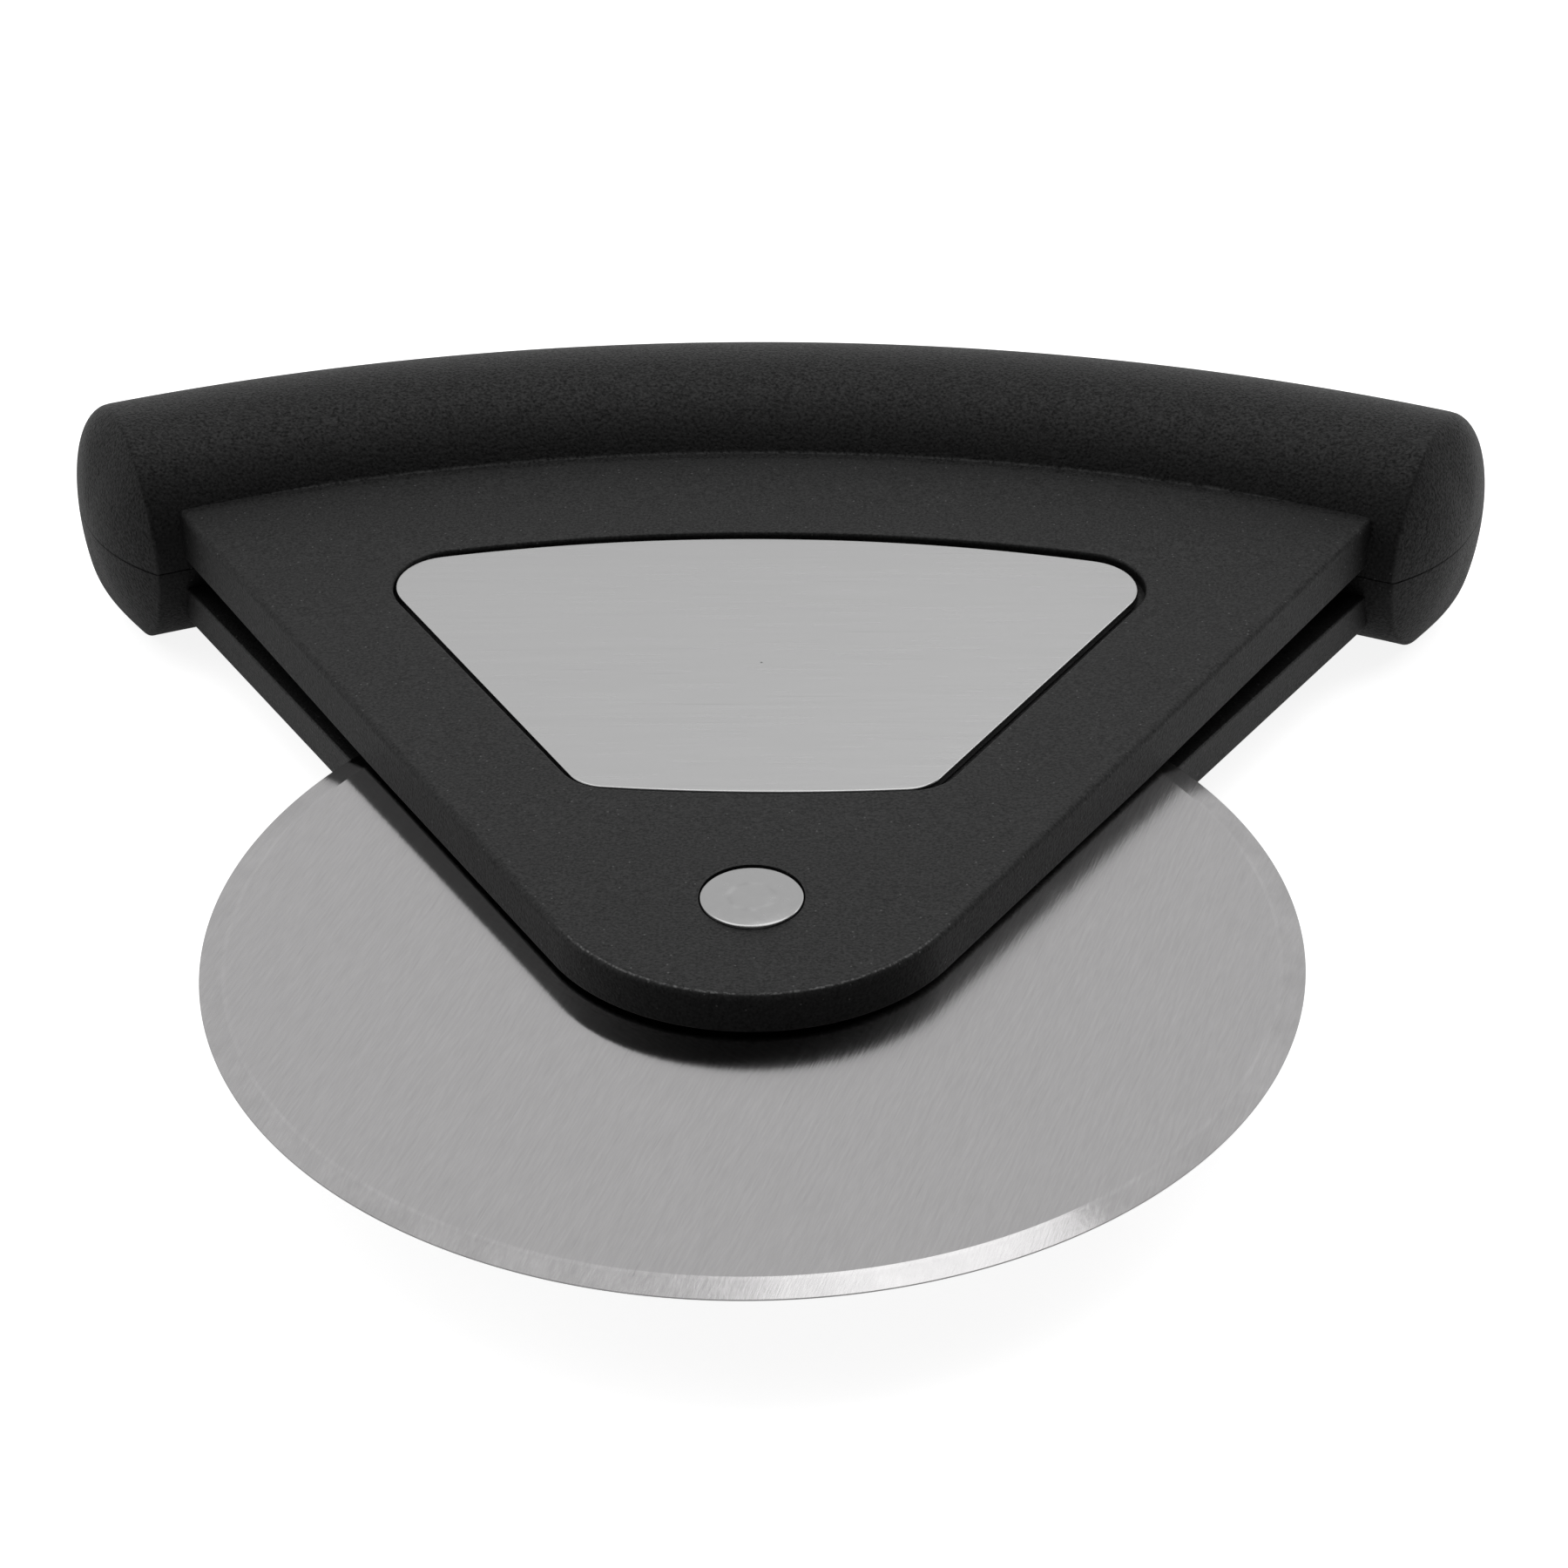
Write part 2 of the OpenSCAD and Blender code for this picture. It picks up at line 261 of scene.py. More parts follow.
@dataclass
class Tree:
    """A node tree and short calls to fill it."""

    tree: bpy.types.NodeTree

    def add(self, kind: str, settings: dict | None = None, **sockets: object) -> bpy.types.Node:
        """Adds a node.

        Args:
            kind: Node type after `ShaderNode`.
            settings: Attributes of the node.
            **sockets: Values or source sockets by input name, with `_` for a space.

        Returns:
            The node.
        """
        node = self.tree.nodes.new("ShaderNode" + kind)
        for name, value in (settings or {}).items():
            setattr(node, name, value)
        for name, value in sockets.items():
            key = int(name[2:]) if name.startswith("in") and name[2:].isdigit() else name.replace("_", " ")
            self.feed(node.inputs[key], value)
        return node

    def feed(self, target: Socket, value: object) -> None:
        """Links a source socket to an input, or gives the input a value."""
        if isinstance(value, Socket):
            self.tree.links.new(value, target)
        else:
            target.default_value = value

    def plug(self, shader: bpy.types.Node, **sockets: object) -> None:
        """Feeds a shader's inputs by name, with `_` for a space."""
        for name, value in sockets.items():
            self.feed(shader.inputs[name.replace("_", " ")], value)

    def math(self, operation: str, a: object, b: object = 0.0, clamp: bool = False) -> Socket:
        """Value of a Math node."""
        return self.add("Math", {"operation": operation, "use_clamp": clamp}, in0=a, in1=b).outputs[0]

    def vector(self, operation: str, a: object, b: object) -> Socket:
        """Vector of a Vector Math node."""
        return self.add("VectorMath", {"operation": operation}, in0=a, in1=b).outputs[0]

    def product(self, *values: object) -> Socket:
        """All values multiplied."""
        total = values[0]
        for value in values[1:]:
            total = self.math("MULTIPLY", total, value)
        return total

    def rest(self, value: object) -> Socket:
        """What a value leaves of 1."""
        return self.math("SUBTRACT", 1.0, value)

    def remap(self, value: object, low: float, high: float, to_low: float, to_high: float) -> Socket:
        """Value moved from one range to another, held at its ends."""
        ends = {"From_Min": low, "From_Max": high, "To_Min": to_low, "To_Max": to_high}
        return self.add("MapRange", None, Value=value, **ends).outputs[0]

    def sway(self, noise: object, centre: float, swing: float) -> Socket:
        """Noise moved to the range of centre - swing to centre + swing."""
        return self.remap(noise, *NOISE, centre - swing, centre + swing)

    def smooth(self, value: object, low: float, high: float) -> Socket:
        """Soft step from 0 to 1 between two values."""
        settings = {"interpolation_type": "SMOOTHSTEP"}
        return self.add("MapRange", settings, Value=value, From_Min=low, From_Max=high).outputs[0]

    def line(self, value: object, at: float, near: float, far: float) -> Socket:
        """Mask that is 1 where a value lies within `near` of a place, and 0 past `far`."""
        return self.rest(self.smooth(self.math("ABSOLUTE", self.math("SUBTRACT", value, at)), near, far))

    def mix(self, factor: object, a: object, b: object) -> Socket:
        """Two colours mixed."""
        return self.add("Mix", {"data_type": "RGBA"}, in0=factor, in6=a, in7=b).outputs[2]

    def shade(self, colour: tuple[float, ...], gain: object) -> Socket:
        """A colour times a gain."""
        return self.add("VectorMath", {"operation": "SCALE"}, in0=colour[:3], Scale=gain).outputs[0]

    def noise(self, vector: object, scale: float, detail: float = 2.0, rough: float = 0.5) -> Socket:
        """Value of a noise texture, scale in cells a metre."""
        node = self.add("TexNoise", None, Vector=vector, Scale=scale, Detail=detail, Roughness=rough)
        return node.outputs[0]

    def stretched(self, vector: object, scale: Triple, turn: float = 0.0) -> Socket:
        """Coordinates turned about Z, in degrees, and then scaled."""
        angles = (0.0, 0.0, math.radians(-turn))
        turned = self.add("Mapping", None, Vector=vector, Rotation=angles).outputs[0]
        return self.add("Mapping", None, Vector=turned, Scale=scale).outputs[0]

    def bump(self, height: object, strength: float, distance: float) -> Socket:
        """Normal that follows a height."""
        return self.add("Bump", None, Strength=strength, Distance=distance, Height=height).outputs[0]

    def axis(self, vector: object, name: str) -> Socket:
        """One coordinate of a vector."""
        return self.add("SeparateXYZ", None, Vector=vector).outputs[name]

    def flat(self, place: object) -> Socket:
        """Coordinates at height zero."""
        return self.vector("MULTIPLY", place, (1.0, 1.0, 0.0))

    def away(self, place: object, centre: Pair) -> Socket:
        """Level distance from an upright axis."""
        ends = {"in0": self.flat(place), "in1": (*centre, 0.0)}
        return self.add("VectorMath", {"operation": "DISTANCE"}, **ends).outputs[1]


def grey(value: float, tint: tuple[float, ...] = (1.0, 1.0, 1.0)) -> tuple[float, ...]:
    """A linear grey, tinted, with its alpha."""
    return (value * tint[0], value * tint[1], value * tint[2], 1.0)


def node_group(name: str, number: str, fill: Fill) -> bpy.types.NodeTree:
    """A shader node group of coordinates and one number, made only once.

    Args:
        name: Name of the group.
        number: Name of the input beside the coordinates.
        fill: Fills the group from its two inputs and returns its results by name.

    Returns:
        The group.
    """
    if name in bpy.data.node_groups:
        return bpy.data.node_groups[name]
    group = bpy.data.node_groups.new(name, "ShaderNodeTree")
    group.interface.new_socket("Vector", in_out="INPUT", socket_type="NodeSocketVector")
    group.interface.new_socket(number, in_out="INPUT", socket_type="NodeSocketFloat")
    source = group.nodes.new("NodeGroupInput")
    results = fill(Tree(group), source.outputs["Vector"], source.outputs[number])
    for title in results:
        group.interface.new_socket(title, in_out="OUTPUT", socket_type="NodeSocketFloat")
    target = group.nodes.new("NodeGroupOutput")
    for title, value in results.items():
        group.links.new(value, target.inputs[title])
    return group


@dataclass(frozen=True)
class Grain:
    """Spark-eroded grain: a fine height, a slow mottle and a mask of the few bright specks.

    Scales are cells a grain, and the specks' edges are in cells.
    """

    detail: float = 3.0
    rough: float = 0.6
    pit_scale: float = 0.8
    pit_share: float = 0.15
    mottle_scale: float = 0.12
    cell_scale: float = 0.33
    speck_near: float = 0.07
    speck_far: float = 0.15
    speck_above: float = 0.6

    def fill(self, t: Tree, vector: Socket, size: Socket) -> dict[str, Socket]:
        """Results of the group, by name."""
        scaled = t.vector("DIVIDE", vector, size)
        fine = t.noise(scaled, 1.0, self.detail, self.rough)
        pits = t.add("TexVoronoi", {"feature": "F1"}, Vector=scaled, Scale=self.pit_scale).outputs[0]
        cells = t.add("TexVoronoi", {"feature": "F1"}, Vector=scaled, Scale=self.cell_scale)
        near = t.rest(t.smooth(cells.outputs["Distance"], self.speck_near, self.speck_far))
        drawn = t.add("SeparateColor", None, Color=cells.outputs["Color"]).outputs[0]
        return {
            "Height": t.math("ADD", t.product(fine, 1 - self.pit_share), t.product(pits, self.pit_share)),
            "Mottle": t.noise(scaled, self.mottle_scale, self.detail, self.rough),
            "Specks": t.product(near, t.math("GREATER_THAN", drawn, self.speck_above)),
        }

    def group(self) -> bpy.types.NodeTree:
        """The node group."""
        return node_group("grain", "Size", self.fill)


@dataclass(frozen=True)
class Brush:
    """Brushed lines along X: a fine height, broad streaks and a few long scratches.

    Each is noise, given as cells a metre along the lines, cells a metre across them and detail.
    """

    fine: Triple = (700.0, 7500.0, 2.0)
    medium: Triple = (260.0, 3300.0, 2.0)
    fine_share: float = 0.4
    streaks: Triple = (110.0, 900.0, 3.0)
    scratches: Triple = (120.0, 5200.0, 1.0)
    scratch_from: float = 0.7
    scratch_to: float = 0.8

    def fill(self, t: Tree, vector: Socket, stretch: Socket) -> dict[str, Socket]:
        """Results of the group, by name."""
        pull = t.add("CombineXYZ", None, X=stretch, Y=1.0, Z=1.0).outputs[0]
        pulled = t.vector("MULTIPLY", vector, pull)
        made = []
        for along, across, detail in (self.fine, self.medium, self.streaks, self.scratches):
            made.append(t.noise(t.stretched(pulled, (along, across, across)), 1.0, detail))
        fine, medium, streaks, scratches = made
        rest = t.product(medium, 1 - self.fine_share)
        return {
            "Height": t.math("ADD", t.product(fine, self.fine_share), rest),
            "Streaks": streaks,
            "Scratches": t.smooth(scratches, self.scratch_from, self.scratch_to),
        }

    def group(self) -> bpy.types.NodeTree:
        """The node group."""
        return node_group("brush", "Stretch", self.fill)


@dataclass(frozen=True)
class Finish:
    """A surface of the object."""

    name: str

    def fill(self, t: Tree, shader: bpy.types.Node) -> None:
        """Fills the node tree of the material. Each finish has its own."""
        raise NotImplementedError

    def material(self) -> bpy.types.Material:
        """The material, made once for each finish."""
        if self.name in bpy.data.materials:
            return bpy.data.materials[self.name]
        made = bpy.data.materials.new(self.name)
        made.use_nodes = True
        self.fill(Tree(made.node_tree), made.node_tree.nodes["Principled BSDF"])
        return made


@dataclass(frozen=True)
class CrustZone:
    """Where the casing's grain is coarser, from the arc where the crust begins, and where shade is painted
    into the parting line on the domed ends, in metres.
    """

    begin: float
    centre_y: float
    end_angle: float
    blend: float = 0.001
    grain_size: float = 0.00031
    seam_shade_near: float = 0.00007
    seam_shade_far: float = 0.00013
    dome_from: float = -0.0002
    dome_to: float = 0.0004

    def mask(self, t: Tree, place: Socket) -> Socket:
        """1 on the crust and 0 on the plate."""
        return t.smooth(t.away(place, (0.0, self.centre_y)), self.begin, self.begin + self.blend)

    def seam(self, t: Tree, place: Socket) -> Socket:
        """Mask of the painted shade in the parting line on the domed ends, at height zero of the row frame.
        """
        line = t.line(t.axis(place, "Z"), 0.0, self.seam_shade_near, self.seam_shade_far)
        angle = math.radians(self.end_angle)
        outward = t.product(t.math("ABSOLUTE", t.axis(place, "X")), math.cos(angle))
        inward = t.product(t.math("SUBTRACT", t.axis(place, "Y"), self.centre_y), math.sin(angle))
        return t.product(line, t.smooth(t.math("SUBTRACT", outward, inward), self.dome_from, self.dome_to))


@dataclass(frozen=True)
class WearAndHighlight:
    """The tip's upper edge: pale worn nicks along its arc and a painted highlight, an even pale line along
    the rounded edge, in metres.
    """

    r: float
    centre_y: float
    above: float = 0.0039
    above_blend: float = 0.0002
    near: float = 0.00002
    far: float = 0.00016
    sides_from: float = 0.009
    sides_to: float = 0.014
    nick_scale: float = 3000.0
    nick_range: Span = (0.45, 0.7, 0.12, 1.0)
    gain: float = 0.35

    def mask(self, t: Tree, place: Socket) -> Socket:
        """Strength of the wear and of the painted highlight, on the arc, near its height and round the tip
        only.
        """
        ring = t.line(t.away(place, (0.0, self.centre_y)), self.r, self.near, self.far)
        above = t.smooth(t.axis(place, "Z"), self.above, self.above + self.above_blend)
        below = t.smooth(t.axis(place, "Y"), self.centre_y - self.sides_from, self.centre_y - self.sides_to)
        # The lowest value of the range is the even painted highlight line; the noise above it adds the worn
        # nicks.
        nicks = t.remap(t.noise(place, self.nick_scale), *self.nick_range)
        return t.product(ring, nicks, t.product(above, below), self.gain)


@dataclass(frozen=True)
class Plastic(Finish):
    """Matt plastic with spark-eroded grain, whose shine comes from a thin coat."""

    base: float = 0.0055
    roughness: float = 0.5
    rough_swing: float = 0.06
    specular: float = 0.1
    coat: float = 0.36
    crust_gain: float = 0.74
    grain_size: float = 0.00028
    grain_depth: float = 0.0003
    mottle_swing: float = 0.2
    speck_gain: float = 0.15
    pale: float = 0.5
    shine_range: Pair = (0.36, 0.64)
    flat_contrast: float = 0.6
    flat_bump: float = 0.5
    bump: float = 1.0
    zone: CrustZone | None = None
    wear_and_highlight: WearAndHighlight | None = None

    def fill(self, t: Tree, shader: bpy.types.Node) -> None:
        """Base with a slow mottle and pale specks, and grain in the normal and in the coat; painted shade
        in the parting line, and worn nicks with a painted highlight on the tip's edge.
        """
        place = t.add("TexCoord").outputs["Object"]
        grain = t.add("Group", {"node_tree": Grain().group()}, Vector=place, Size=self.grain_size)
        height = relief = grain.outputs["Height"]
        crust: object = 0.0
        seam: object = 0.0
        if self.zone:
            coarse = t.add("Group", {"node_tree": Grain().group()}, Vector=place, Size=self.zone.grain_size)
            crust = self.zone.mask(t, place)
            fine = t.product(height, t.rest(crust))
            height = t.math("ADD", fine, t.product(coarse.outputs["Height"], crust))
            relief = t.product(height, t.remap(crust, 0.0, 1.0, self.flat_bump, 1.0))
            # Painted shade in the parting line: the base colour goes to black and the coat fades away along
            # it.
            seam = self.zone.seam(t, place)
        mottle = t.product(t.sway(grain.outputs["Mottle"], 1.0, self.mottle_swing), t.rest(seam))
        pale = t.product(grain.outputs["Specks"], t.rest(crust), self.speck_gain)
        # Pale worn nicks and a painted highlight along the tip's upper edge.
        if self.wear_and_highlight:
            pale = t.math("MAXIMUM", pale, self.wear_and_highlight.mask(t, place))
        contrast = t.remap(crust, 0.0, 1.0, self.flat_contrast, 1.0)
        swing = t.product(t.remap(height, *self.shine_range, -1.0, 1.0), contrast)
        coat = t.remap(crust, 0.0, 1.0, self.coat, self.coat * self.crust_gain)
        t.plug(
            shader,
            Base_Color=t.mix(pale, t.shade(grey(self.base), mottle), grey(self.pale)),
            Roughness=t.sway(height, self.roughness, self.rough_swing),
            Normal=t.bump(relief, self.bump, self.grain_depth),
            Coat_Weight=t.product(t.math("ADD", 1.0, swing), coat, t.rest(seam)),
            Coat_Roughness=self.roughness,
            Specular_IOR_Level=self.specular,
        )


@dataclass(frozen=True)
class Bevel:
    """The blade's ground bevel, in metres: a light line where it starts, and smears along the rim."""

    centre: Pair
    begin: float
    line_at: float = 0.0002
    line_near: float = 0.00005
    line_far: float = 0.0003
    line_gain: float = 0.045
    blend_in: float = 0.00005
    blend_out: float = 0.00015
    smear_scale: float = 170.0
    smear_range: Span = (0.35, 0.65, -0.07, 0.03)

    def gain(self, t: Tree, place: Socket) -> Socket:
        """Gain of the colour, which is 1 on the flat."""
        out = t.away(place, self.centre)
        on = t.smooth(out, self.begin - self.blend_in, self.begin + self.blend_out)
        line = t.line(out, self.begin + self.line_at, self.line_near, self.line_far)
        smear = t.remap(t.noise(place, self.smear_scale, 3.0, 0.6), *self.smear_range)
        return t.math("ADD", t.math("ADD", 1.0, t.product(line, self.line_gain)), t.product(on, smear))


@dataclass(frozen=True)
class Dot:
    """A small dark dot, in metres. Its edge is given in radii."""

    centre: Pair
    r: float = 0.00012
    dark: float = 0.3
    edge: Pair = (0.6, 1.3)

    def gain(self, t: Tree, place: Socket) -> Socket:
        """Gain of the colour, which is 1 beside the dot."""
        inner, outer = (self.r * share for share in self.edge)
        return t.remap(t.away(place, self.centre), inner, outer, self.dark, 1.0)


@dataclass(frozen=True)
class Brushed(Finish):
    """Steel brushed in straight lines."""

    base: float = 0.42
    roughness: float = 0.26
    spread: float = 0.02
    across: float = 0.7
    angle: float = 0.0
    streak: float = 0.02
    fine: float = 0.04
    scratched: float = 0.9
    stretch: float = 1.0
    bump: float = 0.1
    depth: float = 0.00001
    tint: Triple = (1.0, 1.0, 1.0)
    mark: Dot | Bevel | None = None

    def fill(self, t: Tree, shader: bpy.types.Node) -> None:
        """Metal whose lines vary its colour, roughness and normal and spread its reflections."""
        place = t.add("TexCoord").outputs["Object"]
        turned = t.stretched(place, (1.0, 1.0, 1.0), self.angle)
        brush = t.add("Group", {"node_tree": Brush().group()}, Vector=turned, Stretch=self.stretch)
        lines = brush.outputs
        height = lines["Height"]
        gain = t.product(
            t.sway(lines["Streaks"], 1.0, self.streak),
            t.sway(height, 1.0, self.fine),
            t.remap(lines["Scratches"], 0.0, 1.0, 1.0, self.scratched),
        )
        if self.mark:
            gain = t.product(gain, self.mark.gain(t, place))
        turn = math.radians(self.angle + 90)
        along = (math.cos(turn), math.sin(turn), 0.0)
        settings = {"vector_type": "VECTOR", "convert_from": "OBJECT", "convert_to": "WORLD"}
        t.plug(
            shader,
            Base_Color=t.shade(grey(self.base, self.tint), gain),
            Metallic=1.0,
            Roughness=t.sway(height, self.roughness, self.spread),
            Normal=t.bump(height, self.bump, self.depth),
            Tangent=t.add("VectorTransform", settings, Vector=along).outputs[0],
            Anisotropic=self.across,
        )


@dataclass(frozen=True)
class Spun(Finish):
    """Steel spun round the pivot by the riveting tool."""

    centre: Pair
    base: float = 0.4
    roughness: Pair = (0.18, 0.28)
    line_scale: float = 9000.0
    smear_scale: float = 900.0
    smear_gain: Pair = (0.985, 1.01)
    mark_r: float = 0.0021
    mark_width: float = 0.0005
    mark_gain: float = 0.12
    break_scale: float = 420.0
    break_range: Span = (0.42, 0.62, -0.5, 1.0)
    bump: float = 0.12
    depth: float = 0.00001

    def fill(self, t: Tree, shader: bpy.types.Node) -> None:
        """Metal with rings of fine lines round the pivot, and a broken ring where the tool pressed."""
        place = t.add("TexCoord").outputs["Object"]
        flat = t.flat(t.vector("SUBTRACT", place, (*self.centre, 0.0)))
        out = t.add("VectorMath", {"operation": "LENGTH"}, in0=flat).outputs[1]
        ring = t.add("CombineXYZ", None, X=t.product(out, self.line_scale), Y=0.0, Z=0.0).outputs[0]
        smear = t.noise(flat, self.smear_scale, 3.0, 0.6)
        mark = t.line(out, self.mark_r, 0.0, self.mark_width)
        whole = t.remap(t.noise(flat, self.break_scale), *self.break_range)
        broken = t.product(mark, whole, self.mark_gain)
        gain = t.math("ADD", t.remap(smear, *NOISE, *self.smear_gain), broken)
        lines = t.noise(ring, 1.0)
        t.plug(
            shader,
            Base_Color=t.shade(grey(self.base), gain),
            Metallic=1.0,
            Roughness=t.remap(smear, *NOISE, *self.roughness),
            Normal=t.bump(lines, self.bump, self.depth),
        )


@dataclass(frozen=True)
class Face:
    """Frame of a plate's outer face, which rises towards the crust."""

    height: float = 5.1
    splay: float = 1.35

    def lift(self, points: np.ndarray) -> np.ndarray:
        """Points of the face's frame as points about the pivot."""
        c, s = math.cos(math.radians(self.splay)), math.sin(math.radians(self.splay))
        x, y, z = points[..., 0], points[..., 1], points[..., 2]
        return np.stack([x, y * c - z * s, self.height + y * s + z * c], axis=-1)

    def place(self, shape: Shape) -> Shape:
        """A shape drawn on the face, in its place."""
        return Shape(self.lift(shape.points), shape.faces)

    def height_at(self, y: np.ndarray) -> np.ndarray:
        """Height of the face above the blade's middle plane at a distance y from the pivot."""
        return self.height + y * math.tan(math.radians(self.splay))


@dataclass(frozen=True)
class Slice:
    """One plate of the slice: straight sides, a round tip, drafted walls and rounded edges."""

    side_angle: float = 31.6
    tip_r: float = 20.4
    tip_y: float = 5.9
    thick: float = 4.8
    slot_half: float = 0.9
    draft: float = 5.0
    top_edge: float = 0.7
    bottom_edge: float = 0.2
    end_y: float = 82.0
    tip_steps: int = 48
    side_steps: int = 24
    top_edge_steps: int = 7
    bottom_edge_steps: int = 4

    @property
    def normal(self) -> np.ndarray:
        """Outward normal of the right side."""
        a = math.radians(self.side_angle)
        return np.array([math.cos(a), -math.sin(a)])

    @property
    def run(self) -> np.ndarray:
        """Direction of the right side, away from the tip."""
        a = math.radians(self.side_angle)
        return np.array([math.sin(a), math.cos(a)])

    @property
    def tip_normals(self) -> np.ndarray:
        """Outward normals along the right half of the tip."""
        a = np.radians(np.linspace(-90, -self.side_angle, self.tip_steps + 1))
        return np.stack([np.cos(a), np.sin(a)], axis=-1)

    def outline(self, out: np.ndarray) -> np.ndarray:
        """Right half of the outline, from the tip to the crust.

        A point of the tip is centre + (r + out) * n(angle), and a point of the side is
        centre + (r + out) * n + s * run, with s up to where y reaches its end.

        Args:
            out: Distance outwards for each column of the result.

        Returns:
            Points of shape (steps, columns, 2).
        """
        reach = (self.tip_r + out)[None, :, None]
        centre = np.array([0.0, self.tip_y])
        tip = centre + reach * self.tip_normals[:, None, :]
        share = np.linspace(0, 1, self.side_steps + 1)[1:, None, None]
        length = (self.end_y - self.tip_y - reach * self.normal[1]) / self.run[1]
        side = centre + reach * self.normal + share * length * self.run
        return np.concatenate([tip, side], axis=0)

    def wall(self) -> np.ndarray:
        """Profile of the drafted wall with its two round edges.

        Returns:
            One row for each point: distance outwards, height, and 1 where both are measured from the wall's
            foot and not from the face.
        """
        d = math.radians(self.draft)
        e, b = self.top_edge, self.bottom_edge
        top_x = -e * (1 - math.sin(d)) / math.cos(d)
        low_x = (-b - b * math.sin(d)) / math.cos(d)
        top = [(x, y, 0.0) for x, y in rounded((top_x, -e), e, 90, self.draft, self.top_edge_steps)]
        low = [(x, y, 1.0) for x, y in rounded((low_x, b), b, self.draft, -90, self.bottom_edge_steps)]
        return np.array(top + low)

    def shape(self, face: Face) -> Shape:
        """The plate as a closed shape about the pivot."""
        wall, slope = self.wall(), math.tan(math.radians(self.draft))
        s, c = math.sin(math.radians(face.splay)), math.cos(math.radians(face.splay))
        low = wall[:, 2] > 0
        half = self.outline(wall[:, 0])
        floor = np.maximum(-self.thick, (self.slot_half - face.height - half[..., 1] * s) / c)
        height = np.where(low, floor + wall[:, 1], wall[:, 1])
        shift = np.where(low, -floor * slope, 0.0)
        count, columns = half.shape[:2]
        normals = np.concatenate([self.tip_normals, np.broadcast_to(self.normal, (self.side_steps, 2))])
        half = half + shift[..., None] * normals[:, None, :]
        half[-1, :, 0] += (self.end_y - half[-1, :, 1]) * self.run[0] / self.run[1]
        half[-1, :, 1] = self.end_y
        right = np.concatenate([half, height[..., None]], axis=-1)
        left = right[1:][::-1] * np.array([-1, 1, 1])
        rows = np.concatenate([left, right])
        total = len(rows)
        index = np.arange(total * columns).reshape(total, columns)
        faces = [grid_faces(total, columns)]
        for column in (0, columns - 1):
            a, b = index[:, column], index[::-1, column]
            strips = np.stack([a[:-1], a[1:], b[1:], b[:-1]], axis=-1)[: count - 2]
            tip = np.array([[a[count - 2], a[count - 1], b[count - 2]]])
            faces += [strips, tip]
        end_l, end_r = index[0], index[-1]
        faces.append(np.stack([end_l[:-1], end_l[1:], end_r[1:], end_r[:-1]], axis=-1))
        return face.place(Shape(rows.reshape(-1, 3), faces))


